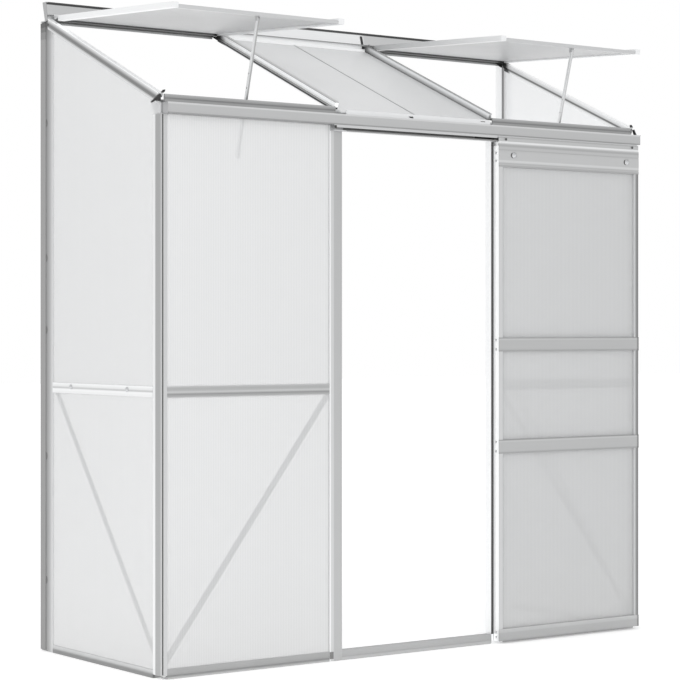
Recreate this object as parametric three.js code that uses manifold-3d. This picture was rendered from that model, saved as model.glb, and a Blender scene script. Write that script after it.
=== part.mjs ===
// Lean-to greenhouse in aluminium and twin-wall sheet, with a sliding door and two roof vents.
// Millimetres, +Z up. While it is built, X runs from the left gable to the right one, Y from the
// front face of the corner posts back to the wall, and Z up from the ground.
import * as THREE from 'three';
import { mergeVertices } from 'three/addons/utils/BufferGeometryUtils.js';
import Module from 'manifold-3d';

const wasm = await Module();
wasm.setup();

// Overall sizes
const houseWidth = 1906;
const houseDepth = 743;
const eaveUnderside = 1657;
const roofPitch = THREE.MathUtils.degToRad(23.5);

// Sizes that every profile shares
const gap = 0.3;                 // between pieces that touch
const wall = 2;                  // wall of the aluminium profiles
const sheet = 4;                 // thickness of the glazing sheet
const overrun = 5;               // how far a cutter stands past what it cuts

// Corner posts
const postFace = 20;
const postSide = 34;
const postBead = 15;             // clip-on bead behind the side face
const postBeadInset = 0.8;
const postSlotDepth = 11;
const postGrooveStart = 4;
const postGrooveWidth = 3;
const postGrooveDepth = 1;
const postLift = 11;             // foot of the post above the ground

// Door jambs
const doorwayWidth = 602;
const jambWidth = 31;
const jambDepth = 30;
const jambFlange = 16;

// Wall posts
const wallPostDepth = 39;
const wallPostWidth = 10.6;
const wallPostRecess = 4;
const wallPostFlange = 40;
const wallPostBackFlange = 14;

// Rails on the ground
const railFoot = 34;
const frontRailHeight = 30;
const frontRailLip = 9;
const gableRailHeight = 24;
const gableRailLip = 12;
const railSlotFloor = 14;
const railFaceInset = 0.8;
const sillStep = 11;
const sillStepInset = 1;

// Waist rails
const waistBottom = 825;
const waistHeight = 32;
const waistWeb = 4;
const waistWebBelowMiddle = 2;
const waistGrooveWidth = 1.5;
const waistGrooveDepth = 0.6;

// Diagonal braces
const braceWidth = 20;
const braceThickness = 2;
const braceFrontFoot = [18, 47];     // across and up, from the corner of the bay
const braceFrontHeadInset = 46;      // from the doorway to the head of the brace
const braceGableFoot = [26, 36];
const braceGableHeadInset = 93;      // from the wall to the head of the brace
const braceHeadRise = 1;             // head of the brace above the foot of the waist rail

// Eave rail
const eaveInset = 9;
const eaveFront = 23;                // how far it stands in front of the posts
const eaveDepth = 55;
const eaveHeight = 33;
const eaveUpstandY = 28;             // back lip that the roof bars rest on

// Roof line: the bars are measured square to it, above and below
const roofLineRise = 27;             // above the eave rail, at the front of the posts
const barSeat = -26;
const barStart = 16;                 // front ends of the bars, behind the front of the posts

// Roof bars at the gables
const gableBarWidth = 17;
const gableBarTop = -5.5;
const gableBarSlot = -29;
const gableBarLip = -36;
const gableBarGrooveTop = -19;
const gableBarGrooveBottom = -27;
const gableBarGrooveDepth = 2;
const gableBarStep = 4;              // inner face set back below the groove's top

// Roof bars beside the middle panel
const midBarCap = 12;
const midBarTop = 6.5;
const midBarLedge = 15;
const midBarLedgeThickness = 5;
const midBarWeb = 9;
const midBarShelf = 12;
const roofSheetTop = -16;

// Ridge rail against the wall
const ridgeDepth = 46;
const ridgeBelowLine = 14;
const ridgeHeight = 63;
const ridgeWall = 2.5;
const ridgeNoseChamfer = 8;
const ridgeNoseRise = 4;
const ridgeFlange = 3.5;             // foot of the rail, back to the wall
const ridgeLean = 9;                 // top of the front face behind its foot
const ridgeTopDepth = 23;
const ridgeFootDepth = 13;
const ridgeBoreInset = 9;
const ridgeBoreRise = 10;

// Vent hinge: a bead on the ridge rail in a hook on the vent
const hingeReach = 7;                // bead centre in front of the ridge rail
const hingeAboveLine = 6;
const hingeBead = 2.5;
const hingeNeck = 1.6;
const hingeClearance = 0.3;
const hingeHookWall = 2;
const hookMouthFrom = THREE.MathUtils.degToRad(28);
const hookMouthTo = THREE.MathUtils.degToRad(315);
const hookRootAngle = THREE.MathUtils.degToRad(225);
const hookSegments = 18;

// Roof vents
const ventClosedFront = 27;          // front edge behind the front of the posts, vent closed
const ventThickness = 17;
const ventFrontDrop = 6;             // front rail under the tops of the stiles
const ventEndGap = 0.5;              // beside the gable bar and beside the cap of the middle bar
const ventFrame = 22;
const ventHingeRail = 30;
const ventSheetInset = 10;
const ventSheetDrop = 7.5;
const ventRearCut = 6;
const ventRestSlope = THREE.MathUtils.degToRad(3.3);

// Stays of the vents
const stayLength = 430;
const stayOffset = { left: 4, right: 17 };   // to the right of the middle of its vent
const stayWidth = 9;
const stayThickness = 7;
const stayHandleLength = 35;
const stayHandleWidth = 15;
const stayLean = THREE.MathUtils.degToRad(15.5);
const stayPivotInset = 18.6;         // from the front edge of the vent
const stayPivotDrop = 6.2;           // under the vent's frame
const stayPin = 2;
const stayPinClearance = 0.1;
const stayPinHead = 4;
const stayPinHeadLength = 1.5;
const stayEyeMargin = 1;             // eye of the stay past half its width
const stayHole = 2.4;
const stayHolePitch = 45;
const stayHoleCount = 5;
const stayPegRise = 22;              // peg above the foot of the vent sill
const stayPegClearance = 0.5;
const lugThickness = 2.5;
const lugWidth = 14;

// Sills under the vents, with the peg for the stay
const ventSillStart = 20;
const ventSillFront = 13;
const ventSillHeight = 26;
const ventSillWall = 3;
const ventSillGrooveDrop = 11;
const ventSillGrooveHeight = 3;
const ventSillGrooveDepth = 1.4;
const ventSillFoot = 12;
const pegTabThickness = 2;
const pegTabHeight = 12;
const pegTabMargin = 6;

// Door track
const trackStartInset = 2;           // past the edge of the left jamb's flange
const trackEndInset = 21;            // from the right gable
const trackDepth = 21.7;
const trackWall = 1.5;
const trackHeight = 19.4;           // from the underside of the eave rail
const trackLipHeight = 3.2;
const trackHoodHeight = 8.7;

// Sliding door, at rest behind its open position in front of the right bay
const doorOverlap = 21;              // door wider than the doorway
const doorRightInset = 20;           // from the right gable
const doorFront = 28;                // in front of the posts
const doorBack = 3;
const doorFootClearance = 10;
const doorTopClearance = 6.3;        // under the floor of the track
const doorStile = 18;
const doorCover = 1.7;               // front plate of the rails, over the stiles
const doorSlotDepth = 8;
const doorSheetFront = 17;
const doorBottomRail = 38;
const doorTopRail = 76;
const doorMidRail = 45;
const doorLowerMidRail = 620;
const doorUpperMidRail = 953;
const doorGrooveBelowTop = [21, 65];
const doorGrooveWidth = 2;
const doorGrooveDepth = 1;
const hangerRise = 6.9;              // above the middle of the rollers
const hangerThickness = 1.6;
const hangerFront = 26;
const rollerRadius = 6;
const rollerLength = 8;
const rollerFront = 16.5;
const rollerInset = 30;
const rollerPin = 2;
const rollerPinClearance = 0.1;
const rollerHead = 4.5;
const rollerHeadLength = 2;
const rollerSideClearance = 0.8;
const rollerKeeper = 3.5;
const rollerKeeperLength = 1.5;
const roundSegments = 24;
const endSegments = 8;

// Places that follow from the sizes above
const slot = sheet + gap + gap;
const slotBack = wall + slot;
const profileBack = slotBack + wall;
const sheetFront = wall + gap;
const braceFace = profileBack + gap;
const postSlotFloor = postFace - postSlotDepth;
const postBeadEnd = postSide + postBead;
const jambInner = (houseWidth - doorwayWidth) / 2;
const jambOuter = jambInner - jambWidth;
const jambEdge = jambOuter - jambFlange;
const wallPostFront = houseDepth - wallPostDepth;
const wallFlangeFront = wallPostFront - wallPostFlange;
const postTop = eaveUnderside - gap;
const waistTop = waistBottom + waistHeight;
const waistMiddle = waistBottom + waistHeight / 2;
const waistWebBottom = waistMiddle - waistWebBelowMiddle;
const waistWebTop = waistWebBottom + waistWeb;
const eaveTop = eaveUnderside + eaveHeight;
const roofLineFoot = eaveTop + roofLineRise;
const slopeDirection = [Math.cos(roofPitch), Math.sin(roofPitch)];
const ridgeFront = houseDepth - ridgeDepth;
const ridgeBottom = roofZ(ridgeFront, 0) - ridgeBelowLine;
const hingeY = ridgeFront - hingeReach;
const hingeZ = roofZ(hingeY, hingeAboveLine);
const ventLength = (hingeY - ventClosedFront) / Math.cos(roofPitch);
const ventOuter = gableBarWidth + ventEndGap;
const ventInner = (jambOuter + jambInner) / 2 + ventEndGap + ventEndGap;
const midBarCapOuter = ventInner + ventEndGap;
const midBarCapInner = midBarCapOuter + midBarCap;
const [pegY, pegZ, stayPegDistance] = pegPlace();
const trackStart = jambEdge + trackStartInset;
const trackEnd = houseWidth - trackEndInset;
const doorWidth = doorwayWidth + doorOverlap;
const doorRight = houseWidth - doorRightInset;
const doorLeft = doorRight - doorWidth;
const trackFloor = postTop - trackHeight;
const doorTop = trackFloor - doorTopClearance;
const doorSheetBack = doorSheetFront - slot;
const rollerCentreZ = trackFloor + trackWall + gap + rollerRadius;

// Height of a plane parallel to the roof line, offset square to it, at a distance from the front.
function roofZ(y, offset) {
  return roofLineFoot + y * Math.tan(roofPitch) + offset / Math.cos(roofPitch);
}

// Place of a stay's peg, and its distance down the stay from the pivot, with the vent at rest.
function pegPlace() {
  const pivot = new THREE.Vector3(0, stayPivotInset - ventLength, -ventThickness - stayPivotDrop);
  pivot.applyAxisAngle(new THREE.Vector3(1, 0, 0), ventRestSlope);
  const z = eaveTop + gap + stayPegRise;
  const distance = (hingeZ + pivot.z - z) / Math.cos(stayLean);
  return [hingeY + pivot.y + distance * Math.sin(stayLean), z, distance];
}

// Middle of a stay's strip
function stayPlace(side) {
  return across(side, (ventOuter + ventInner) / 2) + stayOffset[side];
}

// Materials
const aluminium = new THREE.MeshStandardMaterial({ color: 0xb9bbbd, roughness: 0.42, metalness: 0.8 });
const steelStrip = new THREE.MeshStandardMaterial({ color: 0xc4c6c8, roughness: 0.45, metalness: 0.8 });
const wallSheet = new THREE.MeshStandardMaterial({ color: 0xe4e6e7, roughness: 0.3, metalness: 0 });
const roofSheet = new THREE.MeshStandardMaterial({ color: 0xd6d8d9, roughness: 0.3, metalness: 0 });
const nylon = new THREE.MeshStandardMaterial({ color: 0x2a2b2c, roughness: 0.6, metalness: 0 });

// Extrusions: an outline of points, swept along one axis of the frame between two places. Holes
// are cut through the whole sweep.
function sweep(outline, holes, firstAxis, secondAxis, sweepAxis, from, to) {
  const body = sweepOne(outline, firstAxis, secondAxis, sweepAxis, from, to);
  if (holes.length === 0) {
    return body;
  }
  return cut(body, ...holes.map((hole) => (
    sweepOne(hole, firstAxis, secondAxis, sweepAxis, from - overrun, to + overrun))));
}

function sweepOne(outline, firstAxis, secondAxis, sweepAxis, from, to) {
  const shape = new THREE.Shape(outline.map(([a, b]) => new THREE.Vector2(a, b)));
  const geometry = new THREE.ExtrudeGeometry(shape, { depth: to - from, bevelEnabled: false, steps: 1 });
  geometry.applyMatrix4(new THREE.Matrix4().makeBasis(firstAxis, secondAxis, sweepAxis));
  geometry.translate(sweepAxis.x * from, sweepAxis.y * from, sweepAxis.z * from);
  return geometry;
}

const axisX = new THREE.Vector3(1, 0, 0);
const axisY = new THREE.Vector3(0, 1, 0);
const axisZ = new THREE.Vector3(0, 0, 1);

// Outline of [y, z] points swept along X.
function alongX(outline, from, to, holes = []) {
  return sweep(outline, holes, axisY, axisZ, axisX, from, to);
}

// Outline of [x, z] points swept along Y.
function alongY(outline, from, to, holes = []) {
  const swap = (points) => points.map(([x, z]) => [z, x]);
  return sweep(swap(outline), holes.map(swap), axisZ, axisX, axisY, from, to);
}

// Outline of [x, y] points swept along Z.
function alongZ(outline, from, to, holes = []) {
  return sweep(outline, holes, axisX, axisY, axisZ, from, to);
}

// Outline of [x, offset from the roof line] points swept up the roof.
function upRoof(outline, from, to, holes = []) {
  const swap = (points) => points.map(([x, offset]) => [offset, x]);
  const [level, rise] = slopeDirection;
  const square = new THREE.Vector3(0, -rise, level);
  const slope = new THREE.Vector3(0, level, rise);
  const geometry = sweep(swap(outline), holes.map(swap), square, axisX, slope, from, to);
  geometry.translate(0, 0, roofLineFoot);
  return geometry;
}

function rectangle(a0, b0, a1, b1) {
  return [[a0, b0], [a1, b0], [a1, b1], [a0, b1]];
}

function block(x0, y0, z0, x1, y1, z1) {
  return alongZ(rectangle(x0, y0, x1, y1), z0, z1);
}

// Points on an arc in outline coordinates.
function arc(centre, radius, from, to, segments) {
  return Array.from({ length: segments + 1 }, (_, i) => {
    const angle = from + (to - from) * i / segments;
    return [centre[0] + radius * Math.cos(angle), centre[1] + radius * Math.sin(angle)];
  });
}

// A round solid about a line along Y, from a profile of [radius, y] points.
function turnedAlongY(profile, x, z) {
  const points = profile.map(([radius, y]) => new THREE.Vector2(radius, y));
  const geometry = new THREE.LatheGeometry(points, roundSegments);
  geometry.translate(x, 0, z);
  return geometry;
}

function roundAlongX(radius, x0, x1, y, z) {
  return alongX(arc([y, z], radius, 0, 2 * Math.PI, roundSegments).slice(1), x0, x1);
}

// Closed solids for joins and cuts
function solid(geometry) {
  const bare = geometry.clone();
  bare.deleteAttribute('normal');
  if (bare.hasAttribute('uv')) {
    bare.deleteAttribute('uv');
  }
  const merged = mergeVertices(bare);
  return new wasm.Manifold(new wasm.Mesh({
    numProp: 3,
    vertProperties: new Float32Array(merged.attributes.position.array),
    triVerts: new Uint32Array(merged.index.array),
  }));
}

function geometryOf(manifold) {
  const mesh = manifold.getMesh();
  const geometry = new THREE.BufferGeometry();
  geometry.setAttribute('position', new THREE.BufferAttribute(mesh.vertProperties, 3));
  geometry.setIndex(new THREE.BufferAttribute(mesh.triVerts, 1));
  geometry.computeVertexNormals();
  return geometry;
}

function join(first, ...others) {
  return geometryOf(others.reduce((whole, piece) => whole.add(solid(piece)), solid(first)));
}

function cut(first, ...cutters) {
  return geometryOf(cutters.reduce((whole, piece) => whole.subtract(solid(piece)), solid(first)));
}

const greenhouse = new THREE.Group();

function add(name, geometry, material, parent = greenhouse) {
  const mesh = new THREE.Mesh(geometry, material);
  mesh.name = name;
  parent.add(mesh);
  return mesh;
}

// The right half of the house mirrors the left: across() places an X on the side that is asked for.
const sides = ['left', 'right'];

function across(side, x) {
  return side === 'left' ? x : houseWidth - x;
}

function mirrored(side, outline) {
  return outline.map(([x, other]) => [across(side, x), other]);
}

// Start and end of a stretch along X, in rising order on either side.
function stretch(side, from, to) {
  return [across(side, from), across(side, to)].sort((a, b) => a - b);
}

// Corner posts: a slot for the front sheet and a slot for the gable sheet behind one square nose
function addCornerPosts() {
  const grooveEnd = postGrooveStart + postGrooveWidth;
  const outline = [
    [0, 0], [postGrooveStart, 0], [postGrooveStart, postGrooveDepth], [grooveEnd, postGrooveDepth],
    [grooveEnd, 0], [postFace, 0], [postFace, wall], [postSlotFloor, wall], [postSlotFloor, slotBack],
    [postFace, slotBack], [postFace, profileBack], [profileBack, profileBack], [profileBack, postSide],
    [slotBack, postSide], [slotBack, postSlotFloor], [wall, postSlotFloor], [wall, postBeadEnd],
    [postBeadInset, postBeadEnd], [postBeadInset, postSide], [0, postSide],
  ];
  for (const side of sides) {
    add(`corner_post_${side}`, alongZ(mirrored(side, outline), postLift, postTop), aluminium);
  }
}

// Jambs: a box profile beside the doorway with a slot for the front sheet
function addJambs() {
  const outline = [
    [jambEdge, 0], [jambInner, 0], [jambInner, jambDepth], [jambOuter, jambDepth],
    [jambOuter, profileBack], [jambEdge, profileBack], [jambEdge, slotBack], [jambOuter, slotBack],
    [jambOuter, wall], [jambEdge, wall],
  ];
  const bore = rectangle(jambOuter + wall, wall, jambInner - wall, jambDepth - wall);
  for (const side of sides) {
    const geometry = alongZ(mirrored(side, outline), 0, postTop, [mirrored(side, bore)]);
    add(`jamb_${side}`, geometry, aluminium);
  }
}

// Wall posts: a box against the wall with a slot for the gable sheet, cut back under the roof bar
function addWallPosts() {
  const faceFront = wallPostFront + wall;
  const outline = [
    [0, wallFlangeFront], [wall, wallFlangeFront], [wall, wallPostFront], [slotBack, wallPostFront],
    [slotBack, wallPostFront - wallPostBackFlange], [profileBack, wallPostFront - wallPostBackFlange],
    [profileBack, wallPostFront], [wallPostWidth, wallPostFront], [wallPostWidth, houseDepth],
    [wallPostRecess, houseDepth], [wallPostRecess, faceFront], [0, faceFront],
  ];
  const bore = rectangle(wallPostRecess + wall, faceFront, wallPostWidth - wall, houseDepth - wall);
  const underBar = gableBarLip - gap;
  const cutFront = wallFlangeFront - overrun;
  const cutTop = ridgeBottom + overrun;
  const barSpace = [
    [cutFront, roofZ(cutFront, underBar)], [ridgeFront, roofZ(ridgeFront, underBar)],
    [ridgeFront, cutTop], [cutFront, cutTop],
  ];
  for (const side of sides) {
    const post = alongZ(mirrored(side, outline), 0, ridgeBottom - gap, [mirrored(side, bore)]);
    const [from, to] = stretch(side, -overrun, wallPostWidth + overrun);
    add(`wall_post_${side}`, cut(post, alongX(barSpace, from, to)), aluminium);
  }
}

// Outline of a ground rail, as [distance in from the face, height] points
function groundRail(height, lip) {
  return [
    [0, 0], [railFoot, 0], [railFoot, wall], [profileBack, wall], [profileBack, height],
    [slotBack, height], [slotBack, railSlotFloor], [wall, railSlotFloor], [wall, height],
    [railFaceInset, height], [railFaceInset, lip], [0, lip],
  ];
}

function addGroundRails() {
  const frontOutline = groundRail(frontRailHeight, frontRailLip);
  const gableOutline = groundRail(gableRailHeight, gableRailLip);
  for (const side of sides) {
    const [from, to] = stretch(side, postFace + gap, jambEdge - gap);
    add(`base_rail_front_${side}`, alongX(frontOutline, from, to), aluminium);
    const rail = alongY(mirrored(side, gableOutline), postBeadEnd + gap, wallFlangeFront - gap);
    add(`base_rail_gable_${side}`, rail, aluminium);
  }
  const sill = [
    [0, 0], [wall, 0], [wall, frontRailHeight - wall], [jambDepth - wall, frontRailHeight - wall],
    [jambDepth - wall, 0], [jambDepth, 0], [jambDepth, frontRailHeight],
    [sillStepInset, frontRailHeight], [sillStepInset, sillStep], [0, sillStep],
  ];
  add('door_sill', alongX(sill, jambInner + gap, houseWidth - jambInner - gap), aluminium);
}

// Waist rails: an H profile between the lower and the upper sheets
function addWaistRails() {
  const grooveBottom = waistMiddle - waistGrooveWidth / 2;
  const grooveTop = waistMiddle + waistGrooveWidth / 2;
  const outline = [
    [0, waistBottom], [wall, waistBottom], [wall, waistWebBottom], [slotBack, waistWebBottom],
    [slotBack, waistBottom], [profileBack, waistBottom], [profileBack, waistTop],
    [slotBack, waistTop], [slotBack, waistWebTop], [wall, waistWebTop], [wall, waistTop],
    [0, waistTop], [0, grooveTop], [waistGrooveDepth, grooveTop], [waistGrooveDepth, grooveBottom],
    [0, grooveBottom],
  ];
  for (const side of sides) {
    const [from, to] = stretch(side, postFace + gap, jambEdge - gap);
    add(`waist_rail_front_${side}`, alongX(outline, from, to), aluminium);
    const rail = alongY(mirrored(side, outline), postBeadEnd + gap, wallFlangeFront - gap);
    add(`waist_rail_gable_${side}`, rail, aluminium);
  }
}

// A flat bar between two points, cut square at its ends
function flatBar([a0, b0], [a1, b1]) {
  const length = Math.hypot(a1 - a0, b1 - b0);
  const half = braceWidth / 2;
  const across0 = -(b1 - b0) / length * half;
  const across1 = (a1 - a0) / length * half;
  return [
    [a0 + across0, b0 + across1], [a0 - across0, b0 - across1],
    [a1 - across0, b1 - across1], [a1 + across0, b1 + across1],
  ];
}

// Braces lie on the inner flanges, behind the lower sheets
function addBraces() {
  const braceBack = braceFace + braceThickness;
  const headHeight = waistBottom + braceHeadRise;
  const frontBar = flatBar(braceFrontFoot, [jambInner - braceFrontHeadInset, headHeight]);
  const gableBar = flatBar(braceGableFoot, [houseDepth - braceGableHeadInset, headHeight]);
  for (const side of sides) {
    add(`brace_front_${side}`, alongY(mirrored(side, frontBar), braceFace, braceBack), steelStrip);
    const [from, to] = stretch(side, braceFace, braceBack);
    add(`brace_gable_${side}`, alongX(gableBar, from, to), steelStrip);
  }
}

// Eave rail: a box over the posts, with a lip at the back for the roof bars
function addEaveRail() {
  const back = eaveDepth - eaveFront;
  const lipBack = eaveUpstandY + wall;
  const lipTop = roofZ(eaveUpstandY, barSeat) - gap;
  const outline = [
    [-eaveFront, eaveUnderside], [back, eaveUnderside], [back, eaveTop], [lipBack, eaveTop],
    [lipBack, lipTop], [eaveUpstandY, lipTop], [eaveUpstandY, eaveTop], [-eaveFront, eaveTop],
  ];
  const bore = rectangle(wall - eaveFront, eaveUnderside + wall, back - wall, eaveTop - wall);
  add('eave_rail', alongX(outline, eaveInset, houseWidth - eaveInset, [bore]), aluminium);
}

// Ridge rail: a hollow profile on the wall, with the bead that the vents hang on
function addRidgeRail() {
  const top = ridgeBottom + ridgeHeight;
  const neckHalf = hingeNeck / 2;
  const neckAngle = Math.asin(neckHalf / hingeBead);
  const bead = arc([hingeY, hingeZ], hingeBead, neckAngle, 2 * Math.PI - neckAngle, hookSegments);
  const kneeZ = hingeZ + neckHalf;
  const footBack = ridgeFront + ridgeFootDepth;
  const topFront = ridgeFront + ridgeLean;
  const outline = [
    [ridgeFront + ridgeNoseChamfer, ridgeBottom], [houseDepth, ridgeBottom],
    [houseDepth, ridgeBottom + ridgeFlange], [footBack, ridgeBottom + ridgeFlange],
    [topFront + ridgeTopDepth, top], [topFront, top], [ridgeFront, kneeZ],
    ...bead, [ridgeFront, hingeZ - neckHalf], [ridgeFront, ridgeBottom + ridgeNoseRise],
  ];
  const boreFoot = kneeZ + ridgeBoreRise;
  const bore = [
    [ridgeFront + ridgeBoreInset, boreFoot], [footBack + ridgeWall, boreFoot],
    [topFront + ridgeTopDepth - 2 * ridgeWall, top - ridgeWall],
    [topFront + ridgeWall, top - ridgeWall],
  ];
  const rail = alongX(outline, 0, houseWidth, [bore]);
  const lipFront = hingeY - hingeBead - overrun;
  const notches = sides.map((side) => {
    const [from, to] = stretch(side, midBarCapOuter - gap, midBarCapInner + gap);
    const notchBottom = hingeZ - hingeBead - gap;
    return block(from, lipFront, notchBottom, to, ridgeFront, hingeZ + hingeBead + gap);
  });
  add('ridge_rail', cut(rail, ...notches), aluminium);
}

// A roof bar: swept up the roof from the eave and cut plumb at the ridge rail
function roofBar(outline, bore) {
  const [level] = slopeDirection;
  const bar = upRoof(outline, barStart / level, houseDepth / level, [bore]);
  const plumb = block(-overrun, ridgeFront - gap, 0, houseWidth + overrun, 2 * houseDepth, 2 * eaveTop);
  return cut(bar, plumb);
}

function addRoofBars() {
  const gableBar = [
    [0, gableBarTop], [gableBarWidth, gableBarTop], [gableBarWidth, gableBarGrooveTop],
    [gableBarWidth - gableBarStep, gableBarGrooveTop], [gableBarWidth - gableBarStep, barSeat],
    [profileBack, barSeat], [profileBack, gableBarLip], [slotBack, gableBarLip], [slotBack, gableBarSlot],
    [wall, gableBarSlot], [wall, gableBarLip], [0, gableBarLip], [0, gableBarGrooveBottom],
    [gableBarGrooveDepth, gableBarGrooveBottom], [gableBarGrooveDepth, gableBarGrooveTop],
    [0, gableBarGrooveTop],
  ];
  const gableBore = rectangle(
    gableBarGrooveDepth + wall, barSeat + wall, gableBarWidth - gableBarStep - wall, gableBarTop - wall);
  const ledgeTop = hingeAboveLine - ventThickness - gap;
  const ledgeBottom = ledgeTop - midBarLedgeThickness;
  const shelfTop = roofSheetTop - sheet - gap;
  const ledgeEdge = midBarCapOuter - midBarLedge;
  const webOuter = midBarCapInner - midBarWeb;
  const shelfEdge = midBarCapInner + midBarShelf;
  const midBar = [
    [ledgeEdge, ledgeBottom], [webOuter, ledgeBottom], [webOuter, barSeat], [shelfEdge, barSeat],
    [shelfEdge, shelfTop], [midBarCapInner, shelfTop], [midBarCapInner, midBarTop],
    [midBarCapOuter, midBarTop], [midBarCapOuter, ledgeTop], [ledgeEdge, ledgeTop],
  ];
  const midBore = rectangle(
    midBarCapOuter + wall, ledgeTop + wall, midBarCapInner - wall, midBarTop - wall);
  for (const side of sides) {
    const end = roofBar(mirrored(side, gableBar), mirrored(side, gableBore));
    add(`roof_bar_gable_${side}`, end, aluminium);
    const middle = roofBar(mirrored(side, midBar), mirrored(side, midBore));
    add(`roof_bar_middle_${side}`, middle, aluminium);
  }
}

// Door track: a channel under the eave rail, open to the front for the pins of the rollers
function addDoorTrack() {
  const front = -gap - trackDepth;
  const back = -gap;
  const lipBack = front + trackWall + trackWall;
  const outline = [
    [back, trackFloor], [back, postTop], [front, postTop], [front, postTop - trackHoodHeight],
    [front + trackWall, postTop - trackHoodHeight], [front + trackWall, postTop - trackWall],
    [back - trackWall, postTop - trackWall], [back - trackWall, trackFloor + trackWall],
    [lipBack, trackFloor + trackWall], [lipBack, trackFloor + trackLipHeight],
    [front + trackWall, trackFloor + trackLipHeight], [front + trackWall, trackFloor],
  ];
  add('door_track', alongX(outline, trackStart, trackEnd), aluminium);
}

// Sheets of the gables and of the front bays, in the slots of posts and rails
function addSheets() {
  const front = postSlotFloor + gap;
  const back = wallPostFront - gap;
  const lowerBottom = railSlotFloor + gap;
  const lowerTop = waistWebBottom - gap;
  const upperBottom = waistWebTop + gap;
  const underBar = gableBarSlot - gap;
  const gableUpper = [
    [front, upperBottom], [back, upperBottom], [back, roofZ(back, underBar)],
    [front, roofZ(front, underBar)],
  ];
  for (const side of sides) {
    const [x0, x1] = stretch(side, sheetFront, sheetFront + sheet);
    const gableLower = rectangle(front, lowerBottom, back, lowerTop);
    add(`gable_sheet_lower_${side}`, alongX(gableLower, x0, x1), wallSheet);
    add(`gable_sheet_upper_${side}`, alongX(gableUpper, x0, x1), wallSheet);
    const [bay0, bay1] = stretch(side, front, jambOuter - gap);
    const bayBack = sheetFront + sheet;
    const lower = block(bay0, sheetFront, lowerBottom, bay1, bayBack, lowerTop);
    add(`front_sheet_lower_${side}`, lower, wallSheet);
    const upper = block(bay0, sheetFront, upperBottom, bay1, bayBack, postTop - gap);
    add(`front_sheet_upper_${side}`, upper, wallSheet);
  }
  const inner = midBarCapInner + gap;
  const outline = rectangle(inner, roofSheetTop - sheet, houseWidth - inner, roofSheetTop);
  const [level, rise] = slopeDirection;
  const ridgeEnd = (ridgeFront - gap + (roofSheetTop - sheet) * rise) / level;
  add('roof_sheet_middle', upRoof(outline, roofSheetTop * rise / level, ridgeEnd), roofSheet);
}

// A rail of the door: a body between the stiles and a front plate across them, as one profile
function doorRail(bottom, height, slotBelow, slotAbove) {
  const top = bottom + height;
  const bodyLeft = doorLeft + doorStile + gap;
  const bodyRight = doorRight - doorStile - gap;
  const body = block(bodyLeft, -doorFront, bottom, bodyRight, -doorBack, top);
  const plate = block(doorLeft, -doorFront, bottom, doorRight, doorCover - doorFront, top);
  const cutters = [];
  if (slotBelow) {
    cutters.push(block(bodyLeft - overrun, -doorSheetFront - gap, bottom - overrun,
      bodyRight + overrun, -doorSheetBack - gap, bottom + doorSlotDepth));
  }
  if (slotAbove) {
    cutters.push(block(bodyLeft - overrun, -doorSheetFront - gap, top - doorSlotDepth,
      bodyRight + overrun, -doorSheetBack - gap, top + overrun));
  }
  const boreBottom = bottom + doorSlotDepth + wall;
  const boreTop = top - (slotAbove ? doorSlotDepth + wall : wall);
  cutters.push(block(bodyLeft - overrun, doorCover + wall - doorFront, boreBottom,
    bodyRight + overrun, -doorBack - wall, boreTop));
  return cut(join(body, plate), ...cutters);
}

// Pin of a roller: a screw head in front of the hanger and a keeper behind the roller
function rollerPinAt(x) {
  const hangerBack = hangerThickness - hangerFront;
  const keeperFront = rollerLength + rollerSideClearance - rollerFront;
  return turnedAlongY([
    [0, -hangerFront - rollerHeadLength], [rollerHead, -hangerFront - rollerHeadLength],
    [rollerHead, (hangerBack - hangerFront) / 2], [rollerPin, (hangerBack - hangerFront) / 2],
    [rollerPin, keeperFront], [rollerKeeper, keeperFront],
    [rollerKeeper, keeperFront + rollerKeeperLength], [0, keeperFront + rollerKeeperLength],
  ], x, rollerCentreZ);
}

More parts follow.
